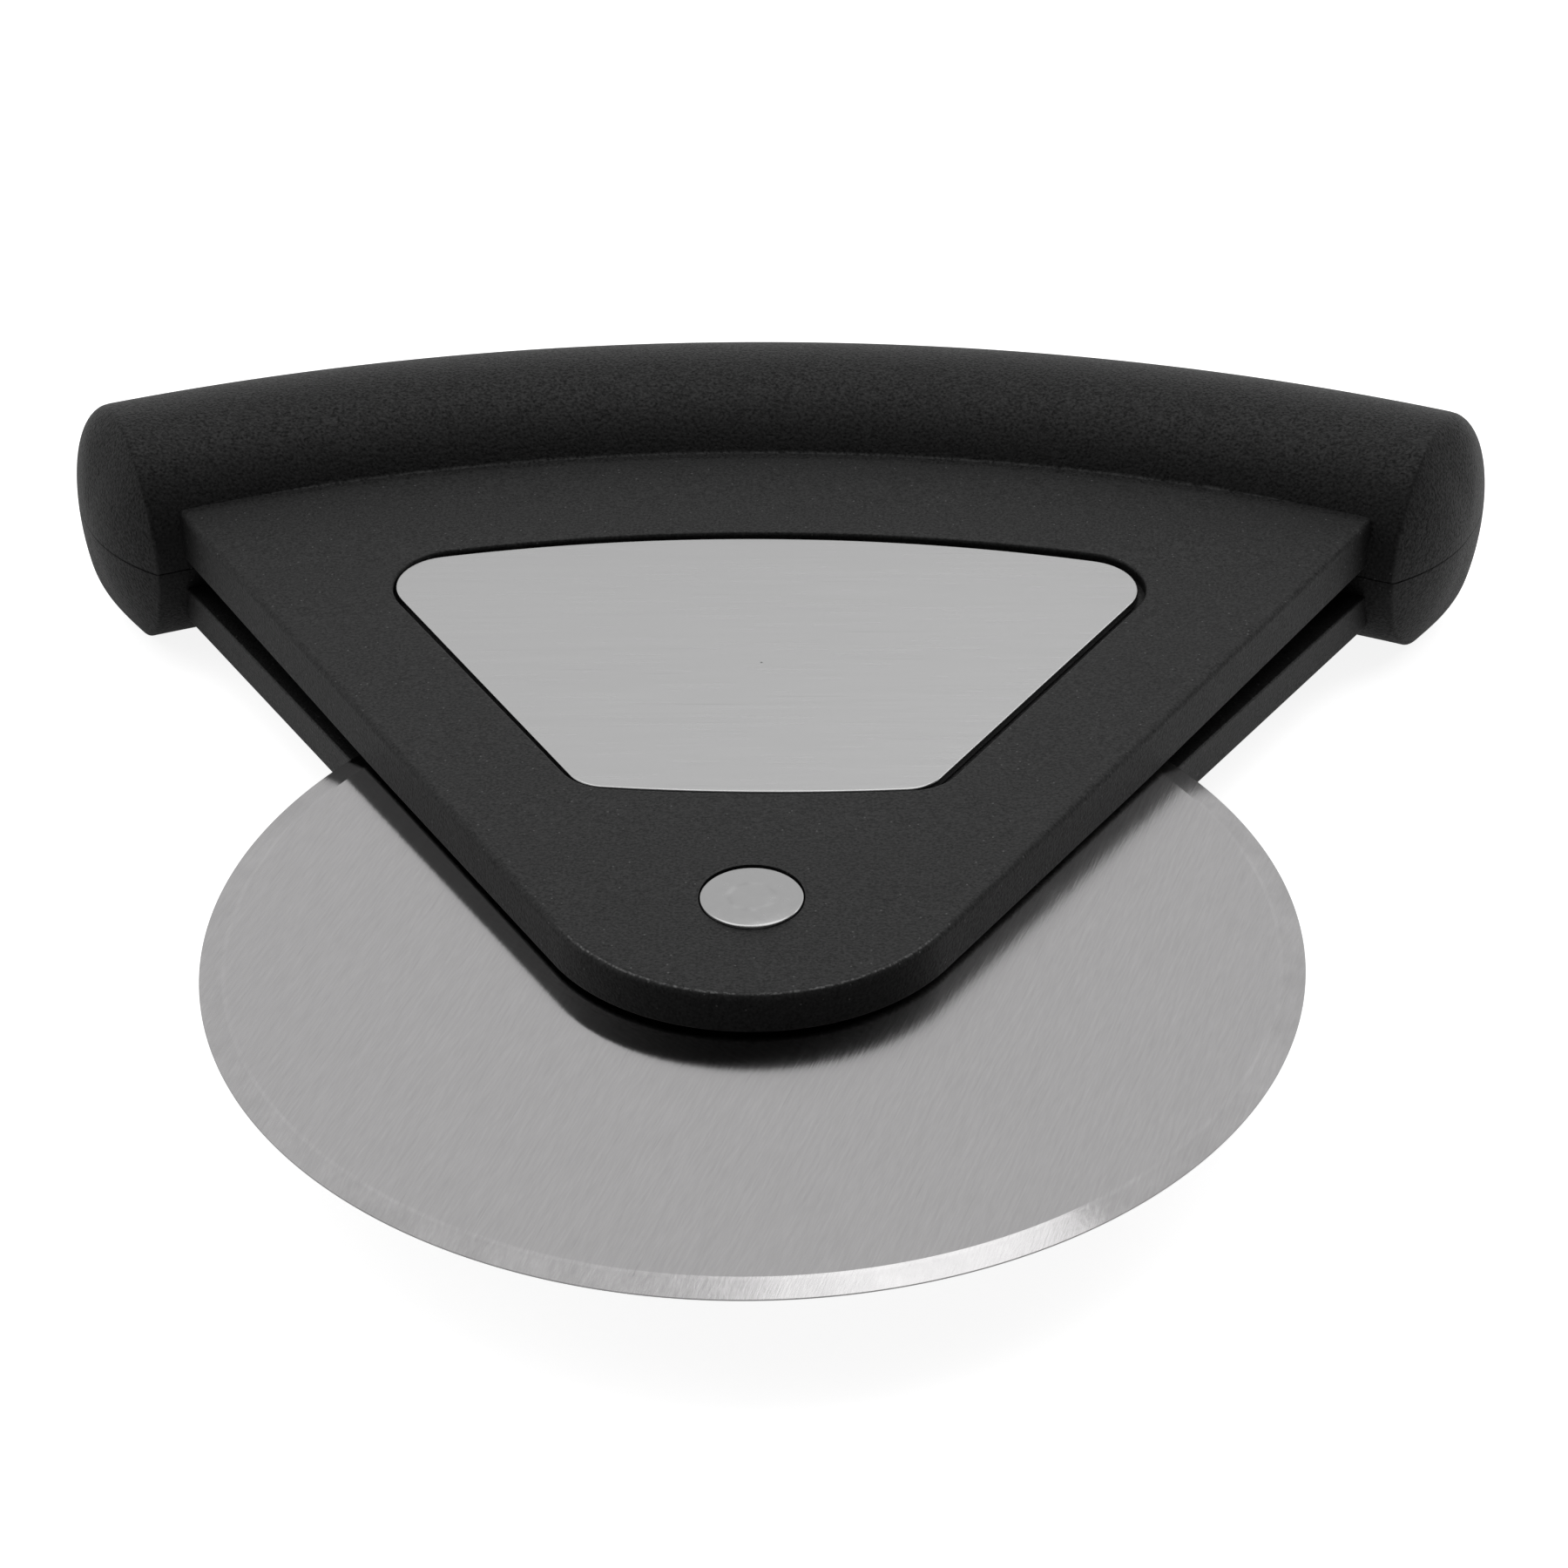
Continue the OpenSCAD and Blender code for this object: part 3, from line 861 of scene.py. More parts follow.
@dataclass(frozen=True)
class Crust:
    """The crust's tube, bent along an arc, with domed ends that are round behind and creased in front."""

    arc_r: float = 169.0
    y: float = 90.2
    r: float = 12.45
    lift: float = 0.5
    half_angle: float = 24.0
    dome: float = 4.1
    rim: float = 0.45
    end_in: float = 0.8
    round_power: float = 2.2
    round_to: float = 65.0
    crease_from: float = 112.0
    parting: float = 0.16
    parting_share: float = 0.25
    parting_steps: int = 3
    wall: float = 2.6
    end_wall: float = 3.0
    web: float = 5.0
    web_count: int = 3
    along: int = 96
    around: int = 56
    dome_steps: int = 26
    rim_steps: int = 8
    round_steps: int = 599
    hollow_along: int = 12
    hollow_around: int = 24

    @property
    def centre_y(self) -> float:
        """Centre of the arc."""
        return self.y - self.arc_r

    @property
    def half_length(self) -> float:
        """Length of the arc from the middle line to the end of the tube."""
        return math.radians(self.half_angle) * self.arc_r

    def bend(self, s: np.ndarray, q: np.ndarray, z: np.ndarray) -> np.ndarray:
        """Points of the tube, bent along the arc.

        With t = s / R held at the ends, and e = s - R * t left over, a point is
        ((R + q) * sin t + e * cos t, centre + (R + q) * cos t - e * sin t, z).

        Args:
            s: Distance along the tube from the middle line.
            q: Distance outwards from the tube's centre line.
            z: Height above the parting plane.

        Returns:
            The points about the pivot, without the crust's lift.
        """
        limit = math.radians(self.half_angle)
        t = np.clip(s / self.arc_r, -limit, limit)
        over = s - self.arc_r * t
        x = (self.arc_r + q) * np.sin(t) + over * np.cos(t)
        y = self.centre_y + (self.arc_r + q) * np.cos(t) - over * np.sin(t)
        return np.stack(np.broadcast_arrays(x, y, z), axis=-1)

    def profiles(self) -> tuple[np.ndarray, np.ndarray]:
        """Round and creased profiles of a domed end.

        The creased one is the tube, a small rim and a spherical cap of radius (r^2 + h^2) / (2 h), where h
        is the dome's height. The round one is a superellipse that starts a little further in, with
        reach = depth * sin(t)^(2/n) and radius = r * cos(t)^(2/n).

        Returns:
            Reach beyond the tube's end and radius of each point of both, from the tube to the pole.
        """
        ball = (self.r**2 + self.dome**2) / (2 * self.dome)
        centre = self.dome - ball
        rim_r = self.r - self.rim
        rim_x = centre + math.sqrt((ball - self.rim) ** 2 - rim_r**2)
        turn = math.degrees(math.atan2(rim_r, rim_x - centre))
        rim = rounded((rim_x, rim_r), self.rim, 90, turn, self.rim_steps)
        cap = rounded((centre, 0.0), ball, turn, 0, self.dome_steps)
        creased = np.array([(-self.end_in, self.r), *rim, *cap[1:]])
        t = np.linspace(0, np.pi / 2, self.round_steps + 1)
        power = 2 / self.round_power
        reach = (self.dome + self.end_in) * np.sin(t) ** power - self.end_in
        fine = np.stack([reach, self.r * np.cos(t) ** power], axis=-1)
        lengths = []
        for path in (creased, fine):
            steps = np.concatenate([[0.0], np.cumsum(np.linalg.norm(np.diff(path, axis=0), axis=1))])
            lengths.append(steps / steps[-1])
        smooth = np.stack([np.interp(lengths[0], lengths[1], fine[:, i]) for i in range(2)], axis=-1)
        return smooth, creased

    def end(self, rows: np.ndarray, theta: np.ndarray) -> tuple[np.ndarray, np.ndarray]:
        """Reach and radius of a domed end, which turns from round to creased round the tube.

        Args:
            rows: Index of the profile's points, 0 at the tube.
            theta: Angle round the tube, from 0 at the back.

        Returns:
            Reach beyond the tube's end and radius, for each pair.
        """
        smooth, creased = self.profiles()
        low, high = math.radians(self.round_to), math.radians(self.crease_from)
        share = np.clip((theta - low) / (high - low), 0, 1)
        share = share * share * (3 - 2 * share)
        reach, radius = ((1 - share) * smooth[rows, i] + share * creased[rows, i] for i in range(2))
        return reach, radius

    def rings(self) -> tuple[np.ndarray, np.ndarray, np.ndarray]:
        """Half-round rings from the left end to the right one, with rounded parting edges.

        Returns:
            Distance along the tube, distance outwards and height, each of shape (rings, points).
        """
        dome = np.arange(len(self.profiles()[0]) - 1)
        start = self.half_length - self.end_in
        tube = np.linspace(-start, start, self.along + 1)[1:-1]
        rows = np.concatenate([dome[::-1], np.zeros(len(tube), int), dome])[:, None]
        way = np.concatenate([-np.ones(len(dome)), np.zeros(len(tube)), np.ones(len(dome))])[:, None]
        along = np.concatenate([dome * 0, tube, dome * 0])[:, None]
        base = np.where(way == 0, along, way * self.half_length)
        curl = np.linspace(0, np.pi / 2, self.parting_steps + 1)[None, 1:]
        sides, leans = [], []
        for angle, sign in ((0.0, 1), (np.pi, -1)):
            reach, radius = self.end(rows, np.array([[angle]]))
            edge = np.minimum(self.parting, radius * self.parting_share)
            lean = np.arcsin(edge / radius)
            q = sign * (radius * np.cos(lean) - edge * (1 - np.cos(curl)))
            sides.append((np.broadcast_to(base + way * reach, q.shape), q, edge * (1 - np.sin(curl))))
            leans.append(lean)
        theta = leans[0] + (np.pi - leans[0] - leans[1]) * np.linspace(0, 1, self.around + 1)[None, :]
        reach, radius = self.end(rows, theta)
        arc = (base + way * reach, radius * np.cos(theta), radius * np.sin(theta))
        back = tuple(block[:, ::-1] for block in sides[0])
        return tuple(np.concatenate([back[i], arc[i], sides[1][i]], axis=1) for i in range(3))

    def shape(self, lift: float) -> Shape:
        """Half of the crust above its parting plane, as a closed shape."""
        s, q, z = self.rings()
        rows, columns = q.shape
        pole = self.half_length + self.dome
        poles = self.bend(np.array([-pole, pole]), np.zeros(2), np.zeros(2))
        points = np.concatenate([self.bend(s, q, z).reshape(-1, 3), poles])
        ring = np.arange(columns)
        ends = [fan_faces(rows * columns, ring), fan_faces(rows * columns + 1, ring + (rows - 1) * columns)]
        return Shape(points, [grid_faces(rows, columns, wrap=True), *ends]).moved(z=lift)

    @property
    def hollow_half(self) -> float:
        """Angle from the middle line to the end of the hollow, in degrees."""
        return math.degrees(math.radians(self.half_angle) - self.end_wall / self.arc_r)

    def hollows(self, lift: float) -> list[Shape]:
        """The hollow in stretches between the webs, as shapes to cut."""
        web_half = math.degrees(self.web / 2 / self.arc_r)
        stops = np.linspace(-self.hollow_half, self.hollow_half, self.web_count + 2)
        stops[0], stops[-1] = stops[0] - web_half, stops[-1] + web_half
        theta = np.linspace(0, np.pi, self.hollow_around + 1)
        inner = self.r - self.wall
        q = np.concatenate([[inner], inner * np.cos(theta), [-inner]])[None, :]
        z = np.concatenate([[-OVERLAP], inner * np.sin(theta), [-OVERLAP]])[None, :]
        made = []
        for start, end in zip(stops[:-1] + web_half, stops[1:] - web_half):
            s = np.radians(np.linspace(start, end, self.hollow_along + 1))[:, None] * self.arc_r
            points = self.bend(*np.broadcast_arrays(s, q, z)).reshape(-1, 3)
            made.append(Shape(points, tube_faces(len(s), q.shape[1])).moved(z=lift))
        return made

    def web_places(self) -> list[np.ndarray]:
        """Points of the crust's centre line where the webs stand."""
        angles = np.radians(np.linspace(-self.hollow_half, self.hollow_half, self.web_count + 2)[1:-1])
        return [self.bend(np.array(a * self.arc_r), np.array(0.0), np.array(0.0)) for a in angles]


@dataclass(frozen=True)
class Fillet:
    """Concave fillet where the plate's face meets the crust, fading out at the slice's sides."""

    r: float = 0.55
    margin: float = 3.9
    fade_rate: float = 6.0
    least: float = 0.08
    over: float = 0.06
    sink: float = 0.004
    root_in: float = 1.4
    root_down: float = 0.6
    along: int = 64
    around: int = 8

    def shape(self, face: Face, crust: Crust, lift: float) -> Shape:
        """The fillet as a closed wedge to join to the shell.

        The fillet's circle touches the face from above and the tube from outside, so its centre lies at
        q = -sqrt((r + f)^2 - (z + f)^2) from the tube's centre line, where z is the face's height.

        Args:
            face: The face's frame.
            crust: The crust.
            lift: Height of the parting plane.

        Returns:
            The wedge about the pivot.
        """
        limit = crust.half_angle - self.margin
        angle = np.radians(np.linspace(-limit, limit, self.along + 1))
        inward = 1 - np.abs(np.linspace(-1, 1, self.along + 1))
        f = self.r * np.clip(inward * self.fade_rate, self.least, 1)
        y = np.full_like(angle, crust.y - crust.r)
        for _ in range(4):
            z = face.height_at(y) - lift
            q = -np.sqrt((crust.r + f) ** 2 - (z + f) ** 2)
            y = crust.centre_y + (crust.arc_r + q) * np.cos(angle)
        start, end = np.full_like(f, -np.pi / 2), np.arctan2(z + f, q) - np.pi
        end = np.where(end < start, end + 2 * np.pi, end)
        share = np.linspace(-self.over, 1 + self.over, self.around + 1)[None, :]
        turn = start[:, None] + (end - start)[:, None] * share
        arc_q = q[:, None] + f[:, None] * np.cos(turn)
        arc_z = (z + f)[:, None] + f[:, None] * np.sin(turn) - self.sink
        section_q = np.concatenate([arc_q, (q + self.root_in)[:, None]], axis=1)
        section_z = np.concatenate([arc_z, (z - self.root_down)[:, None]], axis=1)
        points = crust.bend((angle * crust.arc_r)[:, None], section_q, section_z)
        return Shape(points.reshape(-1, 3), tube_faces(*section_q.shape)).moved(z=lift)


@dataclass(frozen=True)
class Growth:
    """How much an outline grows at its sides, top, bottom and corner radii."""

    side: float = 0.0
    top: float = 0.0
    bottom: float = 0.0
    corner: float = 0.0


@dataclass(frozen=True)
class InlayOutline:
    """Outline of the inlay: straight sides, a top edge along the crust and a bowed bottom edge."""

    border: float = 12.8
    top_y: float = 62.7
    bottom_y: float = 17.2
    bow_r: float = 166.0
    top_corner: float = 5.4
    bottom_corner: float = 4.2
    top_steps: int = 40
    top_corner_steps: int = 20
    bottom_corner_steps: int = 16
    bow_steps: int = 24

    def half(self, plate: Slice, crust: Crust, more: Growth) -> tuple[np.ndarray, np.ndarray]:
        """Right half of the outline, from the middle of the top to the middle of the bottom.

        Args:
            plate: The plate, which sets the sides.
            crust: The crust, which sets the top edge.
            more: Growth of the outline.

        Returns:
            The points and their outward normals.
        """
        n, run = plate.normal, plate.run
        offset = plate.tip_r + n[1] * plate.tip_y - self.border + more.side
        top_c, top_r = np.array([0.0, crust.centre_y]), self.top_y - crust.centre_y + more.top
        bow_c, bow_r = np.array([0.0, self.bottom_y + self.bow_r]), self.bow_r + more.bottom
        top_corner, bottom_corner = self.top_corner + more.corner, self.bottom_corner + more.corner
        corners = []
        for centre, edge_r, corner_r, way in (
            (top_c, top_r, top_corner, 1),
            (bow_c, bow_r, bottom_corner, -1),
        ):
            reach = offset - corner_r - n @ centre
            corners.append(centre + reach * n + way * math.sqrt((edge_r - corner_r) ** 2 - reach**2) * run)
        upper, lower = corners
        turn = math.radians(90 + plate.side_angle)
        a_top = math.atan2(upper[0] - top_c[0], upper[1] - top_c[1])
        a_low = math.atan2(lower[0] - bow_c[0], lower[1] - bow_c[1])
        arcs = (
            (top_c, top_r, 0.0, a_top, self.top_steps),
            (upper, top_corner, a_top, turn, self.top_corner_steps),
            (lower, bottom_corner, turn, a_low, self.bottom_corner_steps),
            (bow_c, bow_r, a_low, math.pi, self.bow_steps),
        )
        points, normals = [], []
        for centre, r, start, end, steps in arcs:
            a = np.linspace(start, end, steps + 1)
            way = np.stack([np.sin(a), np.cos(a)], axis=-1)
            points.append(centre + r * way)
            normals.append(way)
        keep = [slice(None), slice(1, None), slice(None), slice(1, None)]
        return tuple(np.concatenate([p[k] for p, k in zip(parts, keep)]) for parts in (points, normals))

    @staticmethod
    def solid(half: np.ndarray, normals: np.ndarray, profile: Profile) -> Shape:
        """A solid with the outline, its wall following a profile of distance outwards and height."""
        line = np.array(profile)
        wall = half[:, None, :] + line[None, :, :1] * normals[:, None, :]
        height = np.broadcast_to(line[None, :, 1:], (len(half), len(line), 1))
        right = np.concatenate([wall, height], axis=-1)
        right[0, :, 0] = right[-1, :, 0] = 0
        left = right[1:-1][::-1] * np.array([-1, 1, 1])
        rows = np.concatenate([right, left])
        total, columns, count = len(rows), len(line), len(half)
        index = np.arange(total * columns).reshape(total, columns)
        closed = np.concatenate([index, index[:1]])
        quads = np.stack([closed[:-1, :-1], closed[:-1, 1:], closed[1:, 1:], closed[1:, :-1]], axis=-1)
        faces = [quads.reshape(-1, 4)]
        for column in (0, columns - 1):
            a = index[:count, column]
            back = index[count:, column][::-1]
            b = np.concatenate([index[:1, column], back, index[count - 1 : count, column]])
            strips = np.stack([a[1:-2], a[2:-1], b[2:-1], b[1:-2]], axis=-1)
            ends = np.array([[a[0], a[1], b[1]], [a[-1], a[-2], b[-2]]])
            faces += [strips, ends]
        return Shape(rows.reshape(-1, 3), faces)


@dataclass(frozen=True)
class Pivot:
    """Rivet, sleeve, bush and washers of the pivot.

    `crown` gives the front head's soft edge, as inset from its radius and drop from its top, and
    `lip_edge` does the same for the lip behind it. `mark` gives the ring that the tool pressed in, as
    radius and depth. `mouth` is where the rear seat's flare starts and ends.
    """

    shank_r: float = 2.5
    head_r: float = 4.7
    head_t: float = 1.1
    head_top: float = 5.32
    under_edge: float = 0.06
    crown: Pairs = ((0.0, 0.16), (0.03, 0.09), (0.12, 0.03), (0.2, 0.005))
    mark: Pairs = ((2.5, 0.0), (2.35, 0.012), (2.05, 0.03), (1.8, 0.012), (1.65, 0.0))
    seat_gap: float = 0.14
    seat_shift: float = 0.08
    lip_r: float = 5.08
    lip_h: float = 0.2
    lip_root: float = 0.4
    lip_edge: Pairs = ((0.0, 0.14), (0.05, 0.05), (0.14, 0.0))
    lip_shift: float = 0.2
    lip_fade: float = 3.0
    lip_sink: float = 0.1
    rear_head_r: float = 4.5
    rear_head_t: float = 1.0
    rear_bottom: float = -4.85
    rear_bevel: float = 0.12
    mouth: Pair = (4.95, 5.3)
    mouth_flare: float = 0.3
    sleeve_r: float = 3.5
    bush_r: float = 6.0
    washer_r: float = 8.5
    edge_break: float = 0.05
    hole_gap: float = 0.1
    hole_low: float = -2.0
    head_gap: float = 0.11
    running_gap: float = 0.05
    thrust_gap: float = 0.05
    segments: int = 128
    ring_segments: int = 96

    def rivet(self) -> Shape:
        """The rivet: shank, bevelled rear head and formed front head with a soft crown."""
        top, rear, edge = self.head_top, self.rear_bottom, self.under_edge
        low, seat = top - self.head_t, rear + self.rear_head_t
        wide, bevel = self.rear_head_r, self.rear_bevel
        profile = [(0.0, rear), (wide - bevel, rear), (wide, rear + bevel), (wide, seat)]
        profile += [(self.shank_r, seat), (self.shank_r, low)]
        profile += [(self.head_r - edge, low), (self.head_r, low + edge)]
        profile += [(self.head_r - inset, top - drop) for inset, drop in self.crown]
        profile += [(radius, top - depth) for radius, depth in self.mark]
        return lathe([*profile, (0.0, top)], self.segments)

    def lip(self) -> Shape:
        """Low lip that the riveting raised behind the front head, drawn on the face and sunk in front."""
        r, h = self.lip_r, self.lip_h
        edge = [(r - inset, h - drop) for inset, drop in self.lip_edge]
        profile = [(0.0, -self.lip_root), (r, -self.lip_root), *edge, (0.0, h)]
        made = lathe(profile, self.segments).moved(y=self.lip_shift)
        high = made.points[:, 2] > 0
        share = np.clip((made.points[:, 1] + self.lip_fade) / (2 * self.lip_fade), 0.0, 1.0)
        made.points[high, 2] -= (h + self.lip_sink) * (1 - share[high])
        return made

    def hole(self) -> Shape:
        """Tool for the shank's hole through a plate."""
        return drum(self.shank_r + self.hole_gap, self.hole_low, OUTSIDE)

    def seat(self) -> Shape:
        """Tool for the front head's seat."""
        low = self.head_top - self.head_t
        return drum(self.head_r + self.seat_gap, low, OUTSIDE, self.segments).moved(y=self.seat_shift)

    def rear_seat(self) -> Shape:
        """Tool for the rear head's seat, with a flared mouth."""
        seat = -(self.rear_bottom + self.rear_head_t)
        bore, (low, high) = self.rear_head_r + self.head_gap, self.mouth
        wide = bore + self.mouth_flare
        return lathe([(0.0, seat), (bore, seat), (bore, low), (wide, high), (0.0, high)], self.segments)

    def ring(self, inner: float, outer: float, low: float, high: float) -> Shape:
        """A flat ring with broken edges."""
        b = self.edge_break
        below = [(inner, low + b), (inner + b, low), (outer - b, low), (outer, low + b)]
        above = [(outer, high - b), (outer - b, high), (inner + b, high), (inner, high - b)]
        return lathe(below + above, self.ring_segments)


@dataclass(frozen=True)
class Fixings:
    """Bosses and holes of the case screws, and the pegs that line the halves up."""

    r: float = 1.5
    length: float = 7.5
    head_r: float = 2.8
    seat_z: float = 3.0
    x: float = 30.0
    y: float = 56.0
    boss_r: float = 4.0
    boss_over: float = 0.2
    peg_r: float = 1.3
    peg_len: float = 2.5
    gap: float = 0.1
    head_gap: float = 0.3
    end_gap: float = 0.3
    segments: int = 32
    head_segments: int = 48

    @property
    def places(self) -> list[Pair]:
        """Places of the three screws."""
        return [(-self.x, self.y), (0.0, self.y), (self.x, self.y)]

    def bosses(self) -> list[Shape]:
        """A boss round each screw."""
        return [drum(self.boss_r, 0.0, self.seat_z + self.boss_over).moved(x, y) for x, y in self.places]

    def front_holes(self) -> list[Shape]:
        """Tools for the clearance hole and the head's seat of each screw."""
        hole = drum(self.r + self.gap, -OVERLAP, OUTSIDE, self.segments)
        seat = drum(self.head_r + self.head_gap, self.seat_z, OUTSIDE, self.head_segments)
        return [tool.moved(x, y) for x, y in self.places for tool in (hole, seat)]

    def rear_holes(self) -> list[Shape]:
        """Tools for the blind hole of each screw."""
        depth = self.length - self.seat_z + self.end_gap
        return [drum(self.r, -OVERLAP, depth, self.segments).moved(x, y) for x, y in self.places]

    def peg(self) -> Shape:
        """A peg that stands on the rear half and passes the parting plane, drawn as if for the front."""
        return drum(self.peg_r, -self.peg_len, OVERLAP, self.segments)

    def peg_hole(self) -> Shape:
        """Tool for a peg's hole in the front half."""
        return drum(self.peg_r + self.gap, -OVERLAP, self.peg_len + self.end_gap, self.segments)


@dataclass(frozen=True)
class Wheel:
    """The round blade."""

    r: float = 50.0
    t: float = 1.0
    bevel: float = 2.4
    edge: float = 0.15
    flat_steps: int = 7
    segments: int = 360

    def shape(self, bush_r: float) -> Shape:
        """The blade: a flat ring with a ground bevel on both sides."""
        h, e = self.t / 2, self.edge / 2
        flat = list(np.linspace(bush_r, self.r - self.bevel, self.flat_steps + 1))
        profile = [(r, -h) for r in flat] + [(self.r, -e), (self.r, e)] + [(r, h) for r in flat[::-1]]
        return lathe(profile, self.segments)


@dataclass
class Cutter:
    """The whole part and its sizes."""

    row: Row
    face: Face = field(default_factory=Face)
    plate: Slice = field(default_factory=Slice)
    crust: Crust = field(default_factory=Crust)
    fillet: Fillet = field(default_factory=Fillet)
    outline: InlayOutline = field(default_factory=InlayOutline)
    pivot: Pivot = field(default_factory=Pivot)
    fixings: Fixings = field(default_factory=Fixings)
    wheel: Wheel = field(default_factory=Wheel)
    inlay_t: float = 0.8
    inlay_edge: float = 0.22
    inlay_sink: float = 0.3
    inlay_shift: float = 0.36
    inlay_rise: float = 0.1
    dot_place: Pair = (-0.375, 39.497)
    recess_gap: Growth = Growth(0.75, 0.72, 0.4, 1.2)
    recess_rim: float = 0.3
    recess_rim_over: float = 0.004
    recess_over: float = 1.0
    recess_turn: float = 0.25
    tape_t: float = 0.2
    tape_inset: float = 1.5

    @property
    def recess_depth(self) -> float:
        """Depth of the inlay's recess."""
        return self.inlay_sink + self.inlay_t + self.tape_t

    @property
    def acetal(self) -> Plastic:
        """Natural acetal of the bush and the washers."""
        return Plastic("acetal", base=0.7, roughness=0.4, bump=0.03)

    def in_row(self, x: float, y: float) -> Pair:
        """A level place about the pivot, in millimetres, as one of the row frame, in metres."""
        return (self.row.pivot[0] + x * MM, self.row.pivot[1] + y * MM)

    def piece(
        self, name: str, shape: Shape, finish: Finish, body: Body, node: str, sharp: float = 30.0
    ) -> None:
        """Makes a piece of one shape, dresses it and puts it on its body."""
        dress(new_object(name, shape.mesh(name, self.row)), finish, body, (node,), sharp)

    def casing(self) -> Plastic:
        """Black plastic with the crust's coarser grain and painted shade in its parting line, and the worn
        tip with a painted highlight along its edge.
        """
        begin = (self.crust.arc_r - self.crust.r) * MM
        tip_r = (self.plate.tip_r - self.plate.top_edge / 2) * MM
        return Plastic(
            "black_plastic",
            zone=CrustZone(begin, self.in_row(0.0, self.crust.centre_y)[1], self.crust.half_angle),
            wear_and_highlight=WearAndHighlight(tip_r, self.in_row(0.0, self.plate.tip_y)[1]),
        )

    def recess(self) -> Shape:
        """Tool for the inlay's recess, with a small round on its rim."""
        half, normals = self.outline.half(self.plate, self.crust, self.recess_gap)
        rim = self.recess_rim
        wall = rounded((rim, -rim), rim, 180, 90, 4)[:-1]
        profile = [(0.0, -self.recess_depth), *wall, (rim, self.recess_rim_over), (rim, self.recess_over)]
        made = self.outline.solid(half, normals, profile)
        c, s = math.cos(math.radians(self.recess_turn)), math.sin(math.radians(self.recess_turn))
        spin = np.array([[c, s, 0.0], [-s, c, 0.0], [0.0, 0.0, 1.0]])
        centre = np.array([0.0, (self.outline.top_y + self.outline.bottom_y) / 2, 0.0])
        return self.face.place(Shape((made.points - centre) @ spin + centre, made.faces))

    def shell(self, side: Side) -> None:
        """One half of the casing: crust, plate, fillet, bosses and every hole."""
        lift = self.crust.lift * side.value
        fix, piv = self.fixings, self.pivot
        webs = self.crust.web_places()
        add = [self.plate.shape(self.face), self.fillet.shape(self.face, self.crust, lift), *fix.bosses()]
        cut = [*self.crust.hollows(lift), piv.hole()]
        if side is Side.FRONT:
            name, node = "front_casing", "front_shell"
            add.append(self.face.place(piv.lip()))
            cut += [piv.seat(), self.recess(), *fix.front_holes()]
            cut += [fix.peg_hole().moved(p[0], p[1], lift) for p in webs]
        else:
            name, node = "rear_casing", "rear_shell"
            add += [fix.peg().moved(p[0], p[1], lift) for p in webs]
            cut += [piv.rear_seat(), *fix.rear_holes()]
        base = self.crust.shape(lift).on(side)
        made = carve(name, self.row, base, [s.on(side) for s in add], [s.on(side) for s in cut])
        dress(made, self.casing(), Body.HANDLE, (node,))

    def inlay_layer(self, more: Growth, profile: Profile) -> Shape:
        """A layer in the recess, with the inlay's outline or a grown one, in its place on the face."""
        made = self.outline.solid(*self.outline.half(self.plate, self.crust, more), profile)
        return self.face.place(made.moved(x=-self.inlay_shift, y=self.inlay_rise))

    def inlay(self) -> None:
        """The brushed inlay and the pad under it."""
        top, edge, bottom = -self.inlay_sink, self.inlay_edge, -self.recess_depth
        profile = [(0.0, top - self.inlay_t)] + rounded((-edge, top - edge), edge, 0, 90, 5)
        dot = Dot(self.in_row(*self.dot_place))
        finish = Brushed(
            "brushed_inlay", base=0.48, angle=1.0, streak=0.01, fine=0.017, stretch=0.35, mark=dot
        )
        plate = self.inlay_layer(Growth(), profile)
        self.piece("steel_inlay", plate, finish, Body.HANDLE, "inlay_plate")
        less = -self.tape_inset
        pad = self.inlay_layer(Growth(less, less, less, less), [(0.0, bottom), (0.0, bottom + self.tape_t)])
        finish = Plastic("pad", base=0.6, roughness=0.8, bump=0.3)
        self.piece("adhesive_pad", pad, finish, Body.HANDLE, "inlay_tape")

    def wheel_set(self) -> None:
        """The blade and its bush."""
        finish = Brushed(
            "brushed_blade",
            roughness=0.15,
            across=1.0,
            angle=73.0,
            streak=0.015,
            fine=0.065,
            bump=1.0,
            tint=(1.01, 0.995, 1.0),
            mark=Bevel(self.in_row(0.0, 0.0), (self.wheel.r - self.wheel.bevel) * MM),
        )
        piv, half = self.pivot, self.wheel.t / 2
        disc = self.wheel.shape(piv.bush_r)
        self.piece("round_blade", disc, finish, Body.WHEEL, "blade", sharp=2.0)
        bush = piv.ring(piv.sleeve_r + piv.running_gap, piv.bush_r, -half, half)
        self.piece("blade_bushing", bush, self.acetal, Body.WHEEL, "blade_bush")

    def pivot_set(self) -> None:
        """Rivet, sleeve and thrust washers."""
        piv, slot = self.pivot, self.plate.slot_half
        finish = Spun("spun_rivet", self.in_row(0.0, 0.0))
        self.piece("rivet", piv.rivet(), finish, Body.HANDLE, "pivot_rivet", sharp=25.0)
        sleeve = piv.ring(piv.shank_r + piv.hole_gap, piv.sleeve_r, -slot, slot)
        steel = Brushed("sleeve_steel", base=0.45)
        self.piece("sleeve", sleeve, steel, Body.HANDLE, "pivot_sleeve")
        thick = slot - self.wheel.t / 2 - piv.thrust_gap
        washers = (("washer_front", "front_washer", slot - thick), ("washer_rear", "rear_washer", -slot))
        for name, node, low in washers:
            ring = piv.ring(piv.sleeve_r + piv.hole_gap, piv.washer_r, low, low + thick)
            self.piece(name, ring, self.acetal, Body.HANDLE, node)

    def screws(self) -> None:
        """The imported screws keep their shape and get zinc."""
        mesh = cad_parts["case_screws"].data
        mesh.materials.clear()
        mesh.materials.append(Brushed("zinc", base=0.5, roughness=0.35, tint=(0.97, 0.99, 1.0)).material())

